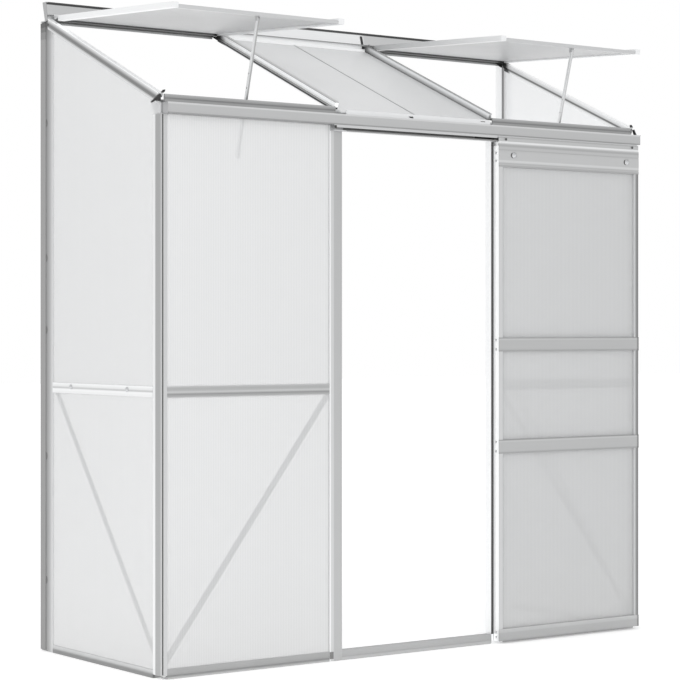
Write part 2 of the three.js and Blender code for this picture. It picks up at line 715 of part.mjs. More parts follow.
function addDoor() {
  const rollerPlaces = { left: doorLeft + rollerInset, right: doorRight - rollerInset };
  const topBottom = doorTop - doorTopRail;
  const grooves = doorGrooveBelowTop.map((drop) => block(doorLeft - overrun, -doorFront - overrun,
    doorTop - drop - doorGrooveWidth, doorRight + overrun, doorGrooveDepth - doorFront, doorTop - drop));
  const hanger = block(doorLeft, -hangerFront, doorTop - doorSlotDepth, doorRight,
    hangerThickness - hangerFront, rollerCentreZ + hangerRise);
  const topRail = cut(doorRail(topBottom, doorTopRail, true, false), ...grooves);
  const pins = Object.values(rollerPlaces).map(rollerPinAt);
  add('door_top_rail', join(topRail, hanger, ...pins), aluminium);
  add('door_bottom_rail', doorRail(doorFootClearance, doorBottomRail, false, true), aluminium);
  add('door_mid_rail_lower', doorRail(doorLowerMidRail, doorMidRail, true, true), aluminium);
  add('door_mid_rail_upper', doorRail(doorUpperMidRail, doorMidRail, true, true), aluminium);

  const face = doorCover + gap - doorFront;
  const slotFloor = doorStile - doorSlotDepth;
  const stile = [
    [0, face], [doorStile, face], [doorStile, -doorSheetFront - gap],
    [slotFloor, -doorSheetFront - gap], [slotFloor, -doorSheetBack - gap],
    [doorStile, -doorSheetBack - gap], [doorStile, -doorBack], [0, -doorBack],
  ];
  const leftStile = stile.map(([x, y]) => [doorLeft + x, y]);
  const rightStile = stile.map(([x, y]) => [doorRight - x, y]);
  const stileTop = doorTop - doorSlotDepth - gap;
  add('door_stile_left', alongZ(leftStile, doorFootClearance, stileTop), aluminium);
  add('door_stile_right', alongZ(rightStile, doorFootClearance, stileTop), aluminium);

  const sheetLeft = doorLeft + slotFloor + gap;
  const sheetRight = doorRight - slotFloor - gap;
  const intoSlot = doorSlotDepth - gap;
  const bays = {
    bottom: [doorFootClearance + doorBottomRail, doorLowerMidRail],
    middle: [doorLowerMidRail + doorMidRail, doorUpperMidRail],
    top: [doorUpperMidRail + doorMidRail, topBottom],
  };
  for (const [bay, [bottom, top]] of Object.entries(bays)) {
    const pane = block(sheetLeft, -doorSheetFront, bottom - intoSlot,
      sheetRight, sheet - doorSheetFront, top + intoSlot);
    add(`door_sheet_${bay}`, pane, wallSheet);
  }

  const bore = rollerPin + rollerPinClearance;
  for (const [end, x] of Object.entries(rollerPlaces)) {
    const ring = turnedAlongY([
      [bore, -rollerFront], [rollerRadius, -rollerFront], [rollerRadius, rollerLength - rollerFront],
      [bore, rollerLength - rollerFront], [bore, -rollerFront],
    ], x, rollerCentreZ);
    add(`door_roller_${end}`, ring, nylon);
  }
}

// Channel outline of the vent's frame, open towards the sheet, from an outer edge to an inner one
function ventChannel(outer, inner, top = 0) {
  const toSheet = Math.sign(inner - outer);
  const slotFloor = inner - toSheet * ventSheetInset;
  return [
    [outer, -ventThickness], [inner, -ventThickness], [inner, -ventSheetDrop - slot],
    [slotFloor, -ventSheetDrop - slot], [slotFloor, -ventSheetDrop], [inner, -ventSheetDrop],
    [inner, top], [outer, top],
  ];
}

// Hinge rail: a channel with a hook round the bead, open at the back for the bead's neck
function ventHingeOutline() {
  const inside = hingeBead + hingeClearance;
  const outside = inside + hingeHookWall;
  const slotFloor = ventSheetInset - ventHingeRail;
  return [
    [-ventHingeRail, -ventThickness], [-ventRearCut, -ventThickness], [-ventRearCut, -outside],
    ...arc([0, 0], outside, hookRootAngle, hookMouthTo, endSegments),
    ...arc([0, 0], inside, hookMouthTo, hookMouthFrom, hookSegments),
    ...arc([0, 0], outside, hookMouthFrom, Math.PI, hookSegments),
    [-ventHingeRail, 0], [-ventHingeRail, -ventSheetDrop], [slotFloor, -ventSheetDrop],
    [slotFloor, -ventSheetDrop - slot], [-ventHingeRail, -ventSheetDrop - slot],
  ];
}

// Stay: a strip that hangs on its pin, with holes for the peg and a wider handle at its foot
function stayGeometry(x0, x1) {
  const half = stayWidth / 2;
  const eye = half + stayEyeMargin;
  const handleHalf = stayHandleWidth / 2;
  const handleTop = stayHandleLength - stayLength;
  const neckAngle = Math.asin(half / eye);
  const neckDrop = -eye * Math.cos(neckAngle);
  const eyeArc = arc([0, 0], eye, neckAngle - Math.PI / 2, 3 * Math.PI / 2 - neckAngle, roundSegments);
  const outline = [
    [half, neckDrop - half], ...eyeArc, [-half, neckDrop - half], [-half, handleTop],
    [-handleHalf, handleTop - half], [-handleHalf, handleHalf - stayLength],
    ...arc([0, handleHalf - stayLength], handleHalf, Math.PI, 2 * Math.PI, endSegments).slice(1),
    [handleHalf, handleTop - half], [half, handleTop],
  ];
  const pinHole = arc([0, 0], stayPin + stayPinClearance, 0, 2 * Math.PI, roundSegments).slice(1);
  const firstHole = stayPegDistance - stayHolePitch * Math.floor(stayHoleCount / 2);
  const pegHoles = Array.from({ length: stayHoleCount }, (_, i) => {
    const centre = [0, -firstHole - i * stayHolePitch];
    return arc(centre, stayHole, 0, 2 * Math.PI, roundSegments).slice(1);
  });
  return alongX(outline, x0, x1, [pinHole, ...pegHoles]);
}

// A vent hangs in a group whose X axis is the hinge line, its top face level with the hinge
function addVent(side) {
  const leaf = new THREE.Group();
  leaf.position.set(0, hingeY, hingeZ);
  leaf.rotation.x = ventRestSlope;
  greenhouse.add(leaf);

  const [x0, x1] = stretch(side, ventOuter, ventInner);
  const frontEdge = -ventLength;
  const railStart = x0 + ventFrame + gap;
  const railEnd = x1 - ventFrame - gap;
  const stileBack = -ventHingeRail - gap;
  add(`vent_${side}_hinge_rail`, alongX(ventHingeOutline(), x0, x1), aluminium, leaf);
  const stiles = { left: [x0, x0 + ventFrame], right: [x1, x1 - ventFrame] };
  for (const [edge, [outer, inner]] of Object.entries(stiles)) {
    const channel = alongY(ventChannel(outer, inner), frontEdge, stileBack);
    add(`vent_${side}_stile_${edge}`, channel, aluminium, leaf);
  }

  const sheetSide = ventFrame - ventSheetInset + gap;
  const pane = block(x0 + sheetSide, frontEdge + sheetSide, -ventSheetDrop - gap - sheet,
    x1 - sheetSide, ventSheetInset - gap - ventHingeRail, -ventSheetDrop - gap);
  add(`vent_${side}_sheet`, pane, roofSheet, leaf);

  const pivotY = frontEdge + stayPivotInset;
  const pivotZ = -ventThickness - stayPivotDrop;
  const stayCentre = stayPlace(side);
  const stayLeft = stayCentre - stayThickness / 2;
  const stayRight = stayCentre + stayThickness / 2;
  const lugRight = stayLeft - gap;
  const lugLeft = lugRight - lugThickness;
  const lug = block(lugLeft, pivotY - lugWidth / 2, pivotZ - lugWidth / 2,
    lugRight, pivotY + lugWidth / 2, wall - ventThickness);
  const headStart = stayRight + gap;
  const pin = roundAlongX(stayPin, lugLeft + gap, headStart + gap, pivotY, pivotZ);
  const head = roundAlongX(stayPinHead, headStart, headStart + stayPinHeadLength, pivotY, pivotZ);
  const frontRail = alongX(ventChannel(frontEdge, frontEdge + ventFrame, -ventFrontDrop), railStart, railEnd);
  add(`vent_${side}_front_rail`, join(frontRail, lug, pin, head), aluminium, leaf);

  const hang = new THREE.Group();
  hang.position.set(0, pivotY, pivotZ);
  hang.rotation.x = stayLean - ventRestSlope;
  leaf.add(hang);
  add(`vent_${side}_stay`, stayGeometry(stayLeft, stayRight), aluminium, hang);
}

// Sill under a vent: an upright strip on the eave rail, with a tab that holds the stay's peg
function addVentSill(side) {
  const foot = eaveTop + gap;
  const back = ventSillFront + ventSillWall;
  const top = foot + ventSillHeight;
  const grooveTop = top - ventSillGrooveDrop;
  const grooveBottom = grooveTop - ventSillGrooveHeight;
  const grooveBack = ventSillFront + ventSillGrooveDepth;
  const outline = [
    [ventSillFront, foot], [back + ventSillFoot, foot], [back + ventSillFoot, foot + wall],
    [back, foot + wall], [back, top], [ventSillFront, top], [ventSillFront, grooveTop],
    [grooveBack, grooveTop], [grooveBack, grooveBottom], [ventSillFront, grooveBottom],
  ];
  const [x0, x1] = stretch(side, ventSillStart, ventInner);
  const stayRight = stayPlace(side) + stayThickness / 2;
  const pegStart = stayRight + stayPegClearance;
  const tabLeft = stayRight + gap + stayPinHeadLength + stayPegClearance;
  const tabEnd = pegY + pegTabMargin;
  const tab = [
    [back - gap, top - pegTabHeight], [tabEnd, pegZ - pegTabMargin],
    [tabEnd, pegZ + pegTabMargin], [back - gap, top],
  ];
  const tabSolid = alongX(tab, tabLeft, tabLeft + pegTabThickness);
  const peg = roundAlongX(stayPin, pegStart, tabLeft + gap, pegY, pegZ);
  add(`vent_sill_${side}`, join(alongX(outline, x0, x1), tabSolid, peg), aluminium);
}

addCornerPosts();
addJambs();
addWallPosts();
addGroundRails();
addWaistRails();
addBraces();
addEaveRail();
addRidgeRail();
addRoofBars();
addDoorTrack();
addSheets();
addDoor();
for (const side of sides) {
  addVent(side);
  addVentSill(side);
}

// The origin is under the middle of the house, on the ground.
const bounds = new THREE.Box3().setFromObject(greenhouse);
const middle = bounds.getCenter(new THREE.Vector3());
greenhouse.position.set(-middle.x, -middle.y, -bounds.min.z);

export default greenhouse;
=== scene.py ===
"""Dressed scene of a lean-to greenhouse with a sliding door and two roof vents."""
import math

import bmesh
import bpy
from mathutils import Matrix, Vector


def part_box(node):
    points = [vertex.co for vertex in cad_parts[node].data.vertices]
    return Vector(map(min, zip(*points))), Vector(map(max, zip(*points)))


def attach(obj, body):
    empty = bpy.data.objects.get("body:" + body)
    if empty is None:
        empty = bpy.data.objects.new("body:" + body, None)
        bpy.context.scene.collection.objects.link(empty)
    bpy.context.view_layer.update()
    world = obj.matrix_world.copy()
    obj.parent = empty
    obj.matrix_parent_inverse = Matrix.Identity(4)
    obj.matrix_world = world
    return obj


bl_info = {
    "name": "Lean-to Greenhouse",
    "version": (1, 0, 0),
    "blender": (4, 5, 0),
    "location": "3D View > Sidebar > Greenhouse",
    "description": "Finishes the profiles and sheets of a lean-to greenhouse and adds its fittings",
    "category": "Object",
}

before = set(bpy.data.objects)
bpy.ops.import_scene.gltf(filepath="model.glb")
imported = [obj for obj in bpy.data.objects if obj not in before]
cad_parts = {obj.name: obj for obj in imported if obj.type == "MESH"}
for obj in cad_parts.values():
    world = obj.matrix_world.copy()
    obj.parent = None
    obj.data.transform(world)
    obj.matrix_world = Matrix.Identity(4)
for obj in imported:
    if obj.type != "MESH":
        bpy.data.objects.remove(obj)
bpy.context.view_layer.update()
POST_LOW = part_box("corner_post_left")[0]
RIDGE_LOW, RIDGE_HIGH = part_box("ridge_rail")
HOUSE_WIDTH = (RIDGE_HIGH[0] - RIDGE_LOW[0]) * 1000
ROOF_PITCH = math.radians(23.5)
ROOF_FOOT = 1717.0
DOOR_LEFT = 1263
DOOR_RIGHT = 1886
SIDES = ("left", "right")

# Camera of the photograph: its place is in millimetres from the front left corner
CAMERA_PLACE = (-3267.77, -5408.83, 1027.37)
CAMERA_TURN = -35.8776
CAMERA_LENS = 114.135
CAMERA_SHIFT = -0.01674

METAL_DUST = (0.45, 0.44, 0.42)
SHEET_DUST = (0.62, 0.61, 0.59)
ZINC_DARK = (0.50, 0.51, 0.52)
ZINC_LIGHT = (0.72, 0.73, 0.74)
WHITE = (1, 1, 1, 1)
# Points nearer than these, in metres, become one
EQUAL_POINTS = 0.000001
AXIS_POINTS = 0.00001


def spot(x, y, z):
    """Place in metres of a point in millimetres from the front left corner on the ground."""
    return Vector((POST_LOW[0] + x / 1000, POST_LOW[1] + y / 1000, z / 1000))


def roof_spot(x, y, offset):
    """Place of a point at a distance from the front, offset square to the roof line."""
    run = y / math.cos(ROOF_PITCH)
    across_y = y - offset * math.sin(ROOF_PITCH)
    up_z = ROOF_FOOT + run * math.sin(ROOF_PITCH) + offset * math.cos(ROOF_PITCH)
    return spot(x, across_y, up_z)


def across(side, x):
    """X of a place given for the left half, on either half."""
    return x if side == "left" else HOUSE_WIDTH - x


class FinishSettings(bpy.types.PropertyGroup):
    """Colours and gloss of the finishes."""

    aluminium: bpy.props.FloatVectorProperty(
        name="Aluminium", description="Colour of the mill-finish profiles",
        default=(0.53, 0.535, 0.54), size=3, min=0, max=1, subtype="COLOR")
    aluminium_roughness: bpy.props.FloatProperty(
        name="Aluminium roughness", description="Mean roughness of the profiles",
        default=0.42, min=0, max=1, subtype="FACTOR")
    wall_sheet: bpy.props.FloatVectorProperty(
        name="Wall sheet", description="Colour of the twin-wall sheet in the walls",
        default=(0.60, 0.605, 0.61), size=3, min=0, max=1, subtype="COLOR")
    roof_sheet: bpy.props.FloatVectorProperty(
        name="Roof sheet", description="Colour of the twin-wall sheet in the roof",
        default=(0.50, 0.505, 0.51), size=3, min=0, max=1, subtype="COLOR")
    sheet_opacity: bpy.props.FloatProperty(
        name="Sheet opacity", description="How much the sheet hides what stands behind it",
        default=0.58, min=0, max=1, subtype="FACTOR")
    rib_pitch: bpy.props.FloatProperty(
        name="Rib pitch", description="Distance between the ribs inside the sheet",
        default=0.006, min=0.002, max=0.02, subtype="DISTANCE", unit="LENGTH")
    rubber: bpy.props.FloatVectorProperty(
        name="Plugs and seals", description="Colour of the black plugs, seals and clips",
        default=(0.018, 0.018, 0.018), size=3, min=0, max=1, subtype="COLOR")


class FittingSettings(bpy.types.PropertyGroup):
    """Sizes of bolts and clips."""

    bolt_radius: bpy.props.FloatProperty(
        name="Bolt head radius", description="Radius of the round bolt heads",
        default=0.0058, min=0.002, max=0.02, subtype="DISTANCE", unit="LENGTH")
    nut_radius: bpy.props.FloatProperty(
        name="Nut radius", description="Corner radius of the hexagon nuts",
        default=0.0055, min=0.002, max=0.02, subtype="DISTANCE", unit="LENGTH")
    edge_round: bpy.props.FloatProperty(
        name="Edge rounding", description="Rounding on the edges of plates and caps",
        default=0.0004, min=0, max=0.003, subtype="DISTANCE", unit="LENGTH")


class StageSettings(bpy.types.PropertyGroup):
    """Light and floor."""

    sky: bpy.props.FloatProperty(
        name="Sky light", description="Strength of the even white light",
        default=0.86, min=0, max=5)
    key_watts: bpy.props.FloatProperty(
        name="Key light", description="Power of the large soft lamp in front",
        default=80.0, min=0, max=2000, unit="POWER")
    floor: bpy.props.FloatVectorProperty(
        name="Floor", description="Colour of the pale floor",
        default=(0.92, 0.92, 0.92), size=3, min=0, max=1, subtype="COLOR")


# Shader groups


def group_socket(tree, name, direction, kind, value=None):
    """Adds a named socket to a node group."""
    socket = tree.interface.new_socket(name=name, in_out=direction, socket_type=kind)
    if value is not None:
        socket.default_value = value
    return socket


def math_node(tree, operation, first, second=None):
    """A math node with its inputs linked or set, and its output."""
    node = tree.nodes.new("ShaderNodeMath")
    node.operation = operation
    for index, value in enumerate((first, second)):
        if value is None:
            continue
        if isinstance(value, (int, float)):
            node.inputs[index].default_value = value
        else:
            tree.links.new(value, node.inputs[index])
    return node.outputs[0]


def noise_node(tree, coordinates, scale, detail):
    """A noise texture's value output."""
    node = tree.nodes.new("ShaderNodeTexNoise")
    node.inputs["Scale"].default_value = scale
    node.inputs["Detail"].default_value = detail
    tree.links.new(coordinates, node.inputs["Vector"])
    return node.outputs["Fac"]


def grain_group():
    """Die lines along an extruded profile, and slow changes of its tone."""
    name = "Extrusion grain"
    if name in bpy.data.node_groups:
        return bpy.data.node_groups[name]
    tree = bpy.data.node_groups.new(name, "ShaderNodeTree")
    group_socket(tree, "Run", "INPUT", "NodeSocketVector")
    group_socket(tree, "Place", "INPUT", "NodeSocketVector")
    group_socket(tree, "Die lines", "OUTPUT", "NodeSocketFloat")
    group_socket(tree, "Tone", "OUTPUT", "NodeSocketFloat")
    inside = tree.nodes.new("NodeGroupInput")
    outside = tree.nodes.new("NodeGroupOutput")
    lines = noise_node(tree, inside.outputs["Run"], scale=1.0, detail=4.0)
    tone = noise_node(tree, inside.outputs["Place"], scale=7.0, detail=3.0)
    tree.links.new(lines, outside.inputs["Die lines"])
    tree.links.new(tone, outside.inputs["Tone"])
    return tree


def dust_group():
    """Pale dust that gathers towards the ground, as a mask."""
    name = "Ground dust"
    if name in bpy.data.node_groups:
        return bpy.data.node_groups[name]
    tree = bpy.data.node_groups.new(name, "ShaderNodeTree")
    group_socket(tree, "Place", "INPUT", "NodeSocketVector")
    group_socket(tree, "Height", "INPUT", "NodeSocketFloat", 0.25)
    group_socket(tree, "Dust", "OUTPUT", "NodeSocketFloat")
    inside = tree.nodes.new("NodeGroupInput")
    outside = tree.nodes.new("NodeGroupOutput")
    split = tree.nodes.new("ShaderNodeSeparateXYZ")
    tree.links.new(inside.outputs["Place"], split.inputs[0])
    level = math_node(tree, "DIVIDE", split.outputs["Z"], inside.outputs["Height"])
    fade = math_node(tree, "SUBTRACT", 1.0, level)
    held = math_node(tree, "MAXIMUM", fade, 0.0)
    patches = noise_node(tree, inside.outputs["Place"], scale=22.0, detail=5.0)
    dust = math_node(tree, "MULTIPLY", held, patches)
    tree.links.new(dust, outside.inputs["Dust"])
    return tree


def rib_group():
    """Ribs between the two skins of a twin-wall sheet: a mask, and the ripple of the skin."""
    name = "Twin-wall ribs"
    if name in bpy.data.node_groups:
        return bpy.data.node_groups[name]
    tree = bpy.data.node_groups.new(name, "ShaderNodeTree")
    group_socket(tree, "Across", "INPUT", "NodeSocketFloat")
    group_socket(tree, "Pitch", "INPUT", "NodeSocketFloat", 0.006)
    group_socket(tree, "Rib", "OUTPUT", "NodeSocketFloat")
    group_socket(tree, "Ripple", "OUTPUT", "NodeSocketFloat")
    inside = tree.nodes.new("NodeGroupInput")
    outside = tree.nodes.new("NodeGroupOutput")
    steps = math_node(tree, "DIVIDE", inside.outputs["Across"], inside.outputs["Pitch"])
    turn = math_node(tree, "MULTIPLY", steps, 2 * math.pi)
    wave = math_node(tree, "COSINE", turn)
    half = math_node(tree, "MULTIPLY", wave, 0.5)
    ripple = math_node(tree, "ADD", half, 0.5)
    rib = math_node(tree, "POWER", ripple, 6.0)
    tree.links.new(rib, outside.inputs["Rib"])
    tree.links.new(ripple, outside.inputs["Ripple"])
    return tree


# Materials


def new_material(name):
    """A node material with only its shader and its output."""
    material = bpy.data.materials.new(name)
    material.use_nodes = True
    tree = material.node_tree
    tree.nodes.clear()
    shader = tree.nodes.new("ShaderNodeBsdfPrincipled")
    output = tree.nodes.new("ShaderNodeOutputMaterial")
    tree.links.new(shader.outputs["BSDF"], output.inputs["Surface"])
    return material, tree, shader


def place_node(tree, scale=(1, 1, 1)):
    """Object coordinates, stretched."""
    coordinates = tree.nodes.new("ShaderNodeTexCoord")
    mapping = tree.nodes.new("ShaderNodeMapping")
    mapping.inputs["Scale"].default_value = scale
    tree.links.new(coordinates.outputs["Object"], mapping.inputs["Vector"])
    return mapping.outputs["Vector"]


def group_node(tree, group, **links):
    """A node group with its inputs linked or set by name, with spaces as underscores."""
    node = tree.nodes.new("ShaderNodeGroup")
    node.node_tree = group
    for name, value in links.items():
        socket = node.inputs[name.replace("_", " ")]
        if isinstance(value, (int, float)):
            socket.default_value = value
        else:
            tree.links.new(value, socket)
    return node


def mix_colours(tree, factor, first, second, blend="MIX"):
    """The mix of two colours by a mask."""
    node = tree.nodes.new("ShaderNodeMix")
    node.data_type = "RGBA"
    node.blend_type = blend
    if isinstance(factor, float):
        node.inputs["Factor"].default_value = factor
    else:
        tree.links.new(factor, node.inputs["Factor"])
    for socket, value in ((node.inputs["A"], first), (node.inputs["B"], second)):
        if hasattr(value, "links"):
            tree.links.new(value, socket)
        else:
            socket.default_value = (*value, 1.0)
    return node.outputs["Result"]


def ranged(tree, value, low, high):
    """A mask spread between two numbers."""
    node = tree.nodes.new("ShaderNodeMapRange")
    node.inputs["To Min"].default_value = low
    node.inputs["To Max"].default_value = high
    tree.links.new(value, node.inputs["Value"])
    return node.outputs["Result"]


def bump(tree, shader, height, strength, distance):
    """Bump from a height on the shader's normal."""
    node = tree.nodes.new("ShaderNodeBump")
    node.inputs["Strength"].default_value = strength
    node.inputs["Distance"].default_value = distance
    tree.links.new(height, node.inputs["Height"])
    tree.links.new(node.outputs["Normal"], shader.inputs["Normal"])


def tinted(colour, share):
    """A colour made lighter or darker."""
    return tuple(min(1.0, part * share) for part in colour)


def roof_offset(millimetres):
    """Distance along the roof's normal of a plane at an offset from the roof line."""
    foot = ROOF_FOOT / 1000 * math.cos(ROOF_PITCH) - POST_LOW[1] * math.sin(ROOF_PITCH)
    return foot + millimetres / 1000


def depth(millimetres):
    """World Y of a distance behind the front of the posts."""
    return POST_LOW[1] + millimetres / 1000


# The highest tone of any ramp of painted light and shade: a banded profile is made in it, and its ramps
# darken it. Whole pieces given it as their tone are painted as if in full light.
BRIGHTEST = 1.8
# Scales of the die lines: low along the run of a profile, high across it
RUN_SCALES = {"x": (3, 700, 700), "y": (700, 3, 700), "z": (700, 700, 3)}
# Axes of the ramps, and how a place in millimetres on each becomes metres in the scene
BAND_DIRECTIONS = {"x": (1, 0, 0), "y": (0, 1, 0), "z": (0, 0, 1),
                   "roof": (0, -math.sin(ROOF_PITCH), math.cos(ROOF_PITCH))}
BAND_PLACES = {"x": lambda value: POST_LOW[0] + value / 1000, "y": depth,
               "z": lambda value: value / 1000, "roof": roof_offset}


def painted_shading_bands(tree, place, axis, stops, brightest):
    """Painted light and shade: grey tones from places along an axis in millimetres, each with its tone.
    """
    dot = tree.nodes.new("ShaderNodeVectorMath")
    dot.operation = "DOT_PRODUCT"
    dot.inputs[1].default_value = BAND_DIRECTIONS[axis]
    tree.links.new(place, dot.inputs[0])
    low, high = stops[0][0], stops[-1][0]
    spread = tree.nodes.new("ShaderNodeMapRange")
    spread.inputs["From Min"].default_value = BAND_PLACES[axis](low)
    spread.inputs["From Max"].default_value = BAND_PLACES[axis](high)
    tree.links.new(dot.outputs["Value"], spread.inputs["Value"])
    ramp = tree.nodes.new("ShaderNodeValToRGB")
    steps = ramp.color_ramp.elements
    for index, (value, tone) in enumerate(stops):
        share = (value - low) / (high - low)
        if index == 0:
            step = steps[0]
        elif index == len(stops) - 1:
            step = steps[len(steps) - 1]
        else:
            step = steps.new(share)
        step.position = share
        grey = tone / brightest
        step.color = (grey, grey, grey, 1)
    tree.links.new(spread.outputs["Result"], ramp.inputs["Fac"])
    return ramp.outputs["Color"]


def aluminium(run, tone=1.0, bands=None, glow=0.0):
    """Mill-finish aluminium with die lines along a profile that runs along x, y or z. Its tone and its
    ramps paint light and shade on it, and its glow is painted light.
    """
    name = "aluminium along %s %s" % (run, bands or "%.2f" % tone)
    if name in bpy.data.materials:
        return bpy.data.materials[name]
    settings = bpy.context.scene.greenhouse_finish
    material, tree, shader = new_material(name)
    place = place_node(tree)
    grain = group_node(tree, grain_group(), Run=place_node(tree, RUN_SCALES[run]), Place=place)
    dust = group_node(tree, dust_group(), Place=place, Height=0.12)
    colour = tinted(settings.aluminium, BRIGHTEST if bands else tone)
    lines = mix_colours(tree, grain.outputs["Die lines"], tinted(colour, 0.95), tinted(colour, 1.04))
    clouds = ranged(tree, grain.outputs["Tone"], 0.0, 0.4)
    toned = mix_colours(tree, clouds, lines, tinted(colour, 0.96))
    # Painted light and shade: the ramps make faces, grooves and ends lighter and darker by how light
    # falls on them.
    if bands:
        section, *ends = PAINTED_SHADING[bands]
        tones = painted_shading_bands(tree, place, *section, BRIGHTEST)
        toned = mix_colours(tree, 1.0, toned, tones, "MULTIPLY")
        for end in ends:
            tones = painted_shading_bands(tree, place, *end, 1.0)
            toned = mix_colours(tree, 1.0, toned, tones, "MULTIPLY")
    dusty = mix_colours(tree, ranged(tree, dust.outputs["Dust"], 0.0, 0.12), toned, METAL_DUST)
    tree.links.new(dusty, shader.inputs["Base Color"])
    # Painted light: the colour glows by the strength of glow, though the profile is no lamp.
    tree.links.new(dusty, shader.inputs["Emission Color"])
    shader.inputs["Emission Strength"].default_value = glow
    shader.inputs["Metallic"].default_value = 0.85
    mean = settings.aluminium_roughness
    roughness = ranged(tree, grain.outputs["Tone"], mean - 0.07, mean + 0.07)
    tree.links.new(roughness, shader.inputs["Roughness"])
    bump(tree, shader, grain.outputs["Die lines"], 0.15, 0.0001)
    return material


def twin_wall(name, colour, across_axis, opacity, glow=0.12):
    """Twin-wall sheet whose ribs stand side by side along one axis. Its glow is painted light, standing
    in for light that passes through the sheet.
    """
    if name in bpy.data.materials:
        return bpy.data.materials[name]
    settings = bpy.context.scene.greenhouse_finish
    material, tree, shader = new_material(name)
    place = place_node(tree)
    split = tree.nodes.new("ShaderNodeSeparateXYZ")
    tree.links.new(place, split.inputs[0])
    ribs = group_node(tree, rib_group(), Across=split.outputs[across_axis], Pitch=settings.rib_pitch)
    grain = group_node(tree, grain_group(), Run=place_node(tree, (60, 60, 2)), Place=place)
    dust = group_node(tree, dust_group(), Place=place, Height=0.3)
    ribbed = mix_colours(tree, ribs.outputs["Rib"], colour, tinted(colour, 0.90))
    clouds = ranged(tree, grain.outputs["Die lines"], 0.0, 0.35)
    cloudy = mix_colours(tree, clouds, ribbed, tinted(colour, 1.05))
    dusty = mix_colours(tree, ranged(tree, dust.outputs["Dust"], 0.0, 0.25), cloudy, SHEET_DUST)
    tree.links.new(dusty, shader.inputs["Base Color"])
    # Painted light: the sheet's colour glows by the strength of glow.
    tree.links.new(dusty, shader.inputs["Emission Color"])
    shader.inputs["Emission Strength"].default_value = glow
    tree.links.new(ranged(tree, grain.outputs["Tone"], 0.26, 0.38), shader.inputs["Roughness"])
    cover = ranged(tree, ribs.outputs["Rib"], opacity, min(1.0, opacity + 0.14))
    tree.links.new(cover, shader.inputs["Alpha"])
    bump(tree, shader, ribs.outputs["Ripple"], 0.25, 0.0002)
    return material


def black_plastic(name="black plastic", tone=1.0, roughness=0.5):
    """Black moulded plastic or rubber with a fine grain."""
    if name in bpy.data.materials:
        return bpy.data.materials[name]
    settings = bpy.context.scene.greenhouse_finish
    material, tree, shader = new_material(name)
    place = place_node(tree)
    grain = group_node(tree, grain_group(), Run=place_node(tree, (900, 900, 900)), Place=place)
    colour = tinted(settings.rubber, tone)
    mottled = mix_colours(tree, grain.outputs["Die lines"], tinted(colour, 0.8), tinted(colour, 1.5))
    tree.links.new(mottled, shader.inputs["Base Color"])
    worn = ranged(tree, grain.outputs["Tone"], roughness - 0.08, roughness + 0.08)
    tree.links.new(worn, shader.inputs["Roughness"])
    bump(tree, shader, grain.outputs["Die lines"], 0.2, 0.0001)
    return material


def zinc():
    """Zinc-plated steel of the bolts and nuts."""
    name = "zinc plate"
    if name in bpy.data.materials:
        return bpy.data.materials[name]
    material, tree, shader = new_material(name)
    place = place_node(tree)
    grain = group_node(tree, grain_group(), Run=place_node(tree, (400, 400, 400)), Place=place)
    plated = mix_colours(tree, grain.outputs["Die lines"], ZINC_DARK, ZINC_LIGHT)
    tree.links.new(plated, shader.inputs["Base Color"])
    shader.inputs["Metallic"].default_value = 0.9
    tree.links.new(ranged(tree, grain.outputs["Die lines"], 0.25, 0.4), shader.inputs["Roughness"])
    bump(tree, shader, grain.outputs["Die lines"], 0.1, 0.0001)
    return material


# Shapes, each made where it stands


def turned_to(axis):
    """Matrix that turns +Z to an axis."""
    return Vector(axis).to_track_quat("Z", "Y").to_matrix().to_4x4()


def rounded(shape, vertices, edge):
    """Bevels the edges between the given vertices."""
    if edge <= 0:
        return
    inside = set(vertices)
    edges = {link for vertex in vertices for link in vertex.link_edges
             if link.other_vert(vertex) in inside}
    bmesh.ops.bevel(shape, geom=list(edges), offset=edge, offset_type="OFFSET", affect="EDGES",
                    segments=2, profile=0.5, material=-1)


def add_block(shape, low, high, edge=None):
    """A block between two corners with rounded edges."""
    settings = bpy.context.scene.greenhouse_fittings
    size = high - low
    matrix = Matrix.Translation((low + high) / 2) @ Matrix.Diagonal((*size, 1))
    made = bmesh.ops.create_cube(shape, size=1, matrix=matrix)
    smallest = min(abs(part) for part in size)
    wanted = settings.edge_round if edge is None else edge
    rounded(shape, made["verts"], min(wanted, smallest * 0.3))


def add_plate(shape, outline, thickness, edge=None):
    """A plate from the corners of its face, given thickness as a vector."""
    settings = bpy.context.scene.greenhouse_fittings
    corners = [shape.verts.new(corner) for corner in outline]
    face = shape.faces.new(corners)
    made = bmesh.ops.extrude_face_region(shape, geom=[face])
    far = [item for item in made["geom"] if isinstance(item, bmesh.types.BMVert)]
    bmesh.ops.translate(shape, verts=far, vec=thickness)
    wanted = settings.edge_round if edge is None else edge
    rounded(shape, corners + far, min(wanted, thickness.length * 0.3))


def add_turned(shape, profile, place, axis, steps=20):
    """A turned solid: radius and height points, from axis to axis, about an axis at a place."""
    points = [shape.verts.new((radius, 0, height)) for radius, height in profile]
    edges = [shape.edges.new(pair) for pair in zip(points, points[1:])]
    made = bmesh.ops.spin(shape, geom=points + edges, cent=(0, 0, 0), axis=(0, 0, 1),
                          angle=2 * math.pi, steps=steps, use_merge=True)
    near = {vertex for vertex in points if vertex.is_valid}
    last = [item for item in made["geom_last"] if isinstance(item, bmesh.types.BMVert)]
    near.update(vertex for vertex in last if vertex.is_valid)
    reached = set(near)
    frontier = list(near)
    while frontier:
        vertex = frontier.pop()
        for link in vertex.link_edges:
            other = link.other_vert(vertex)
            if other not in reached:
                reached.add(other)
                frontier.append(other)
    vertices = list(reached)
    bmesh.ops.remove_doubles(shape, verts=vertices, dist=AXIS_POINTS)
    vertices = [vertex for vertex in vertices if vertex.is_valid]
    bmesh.ops.transform(shape, matrix=Matrix.Translation(place) @ turned_to(axis), verts=vertices)


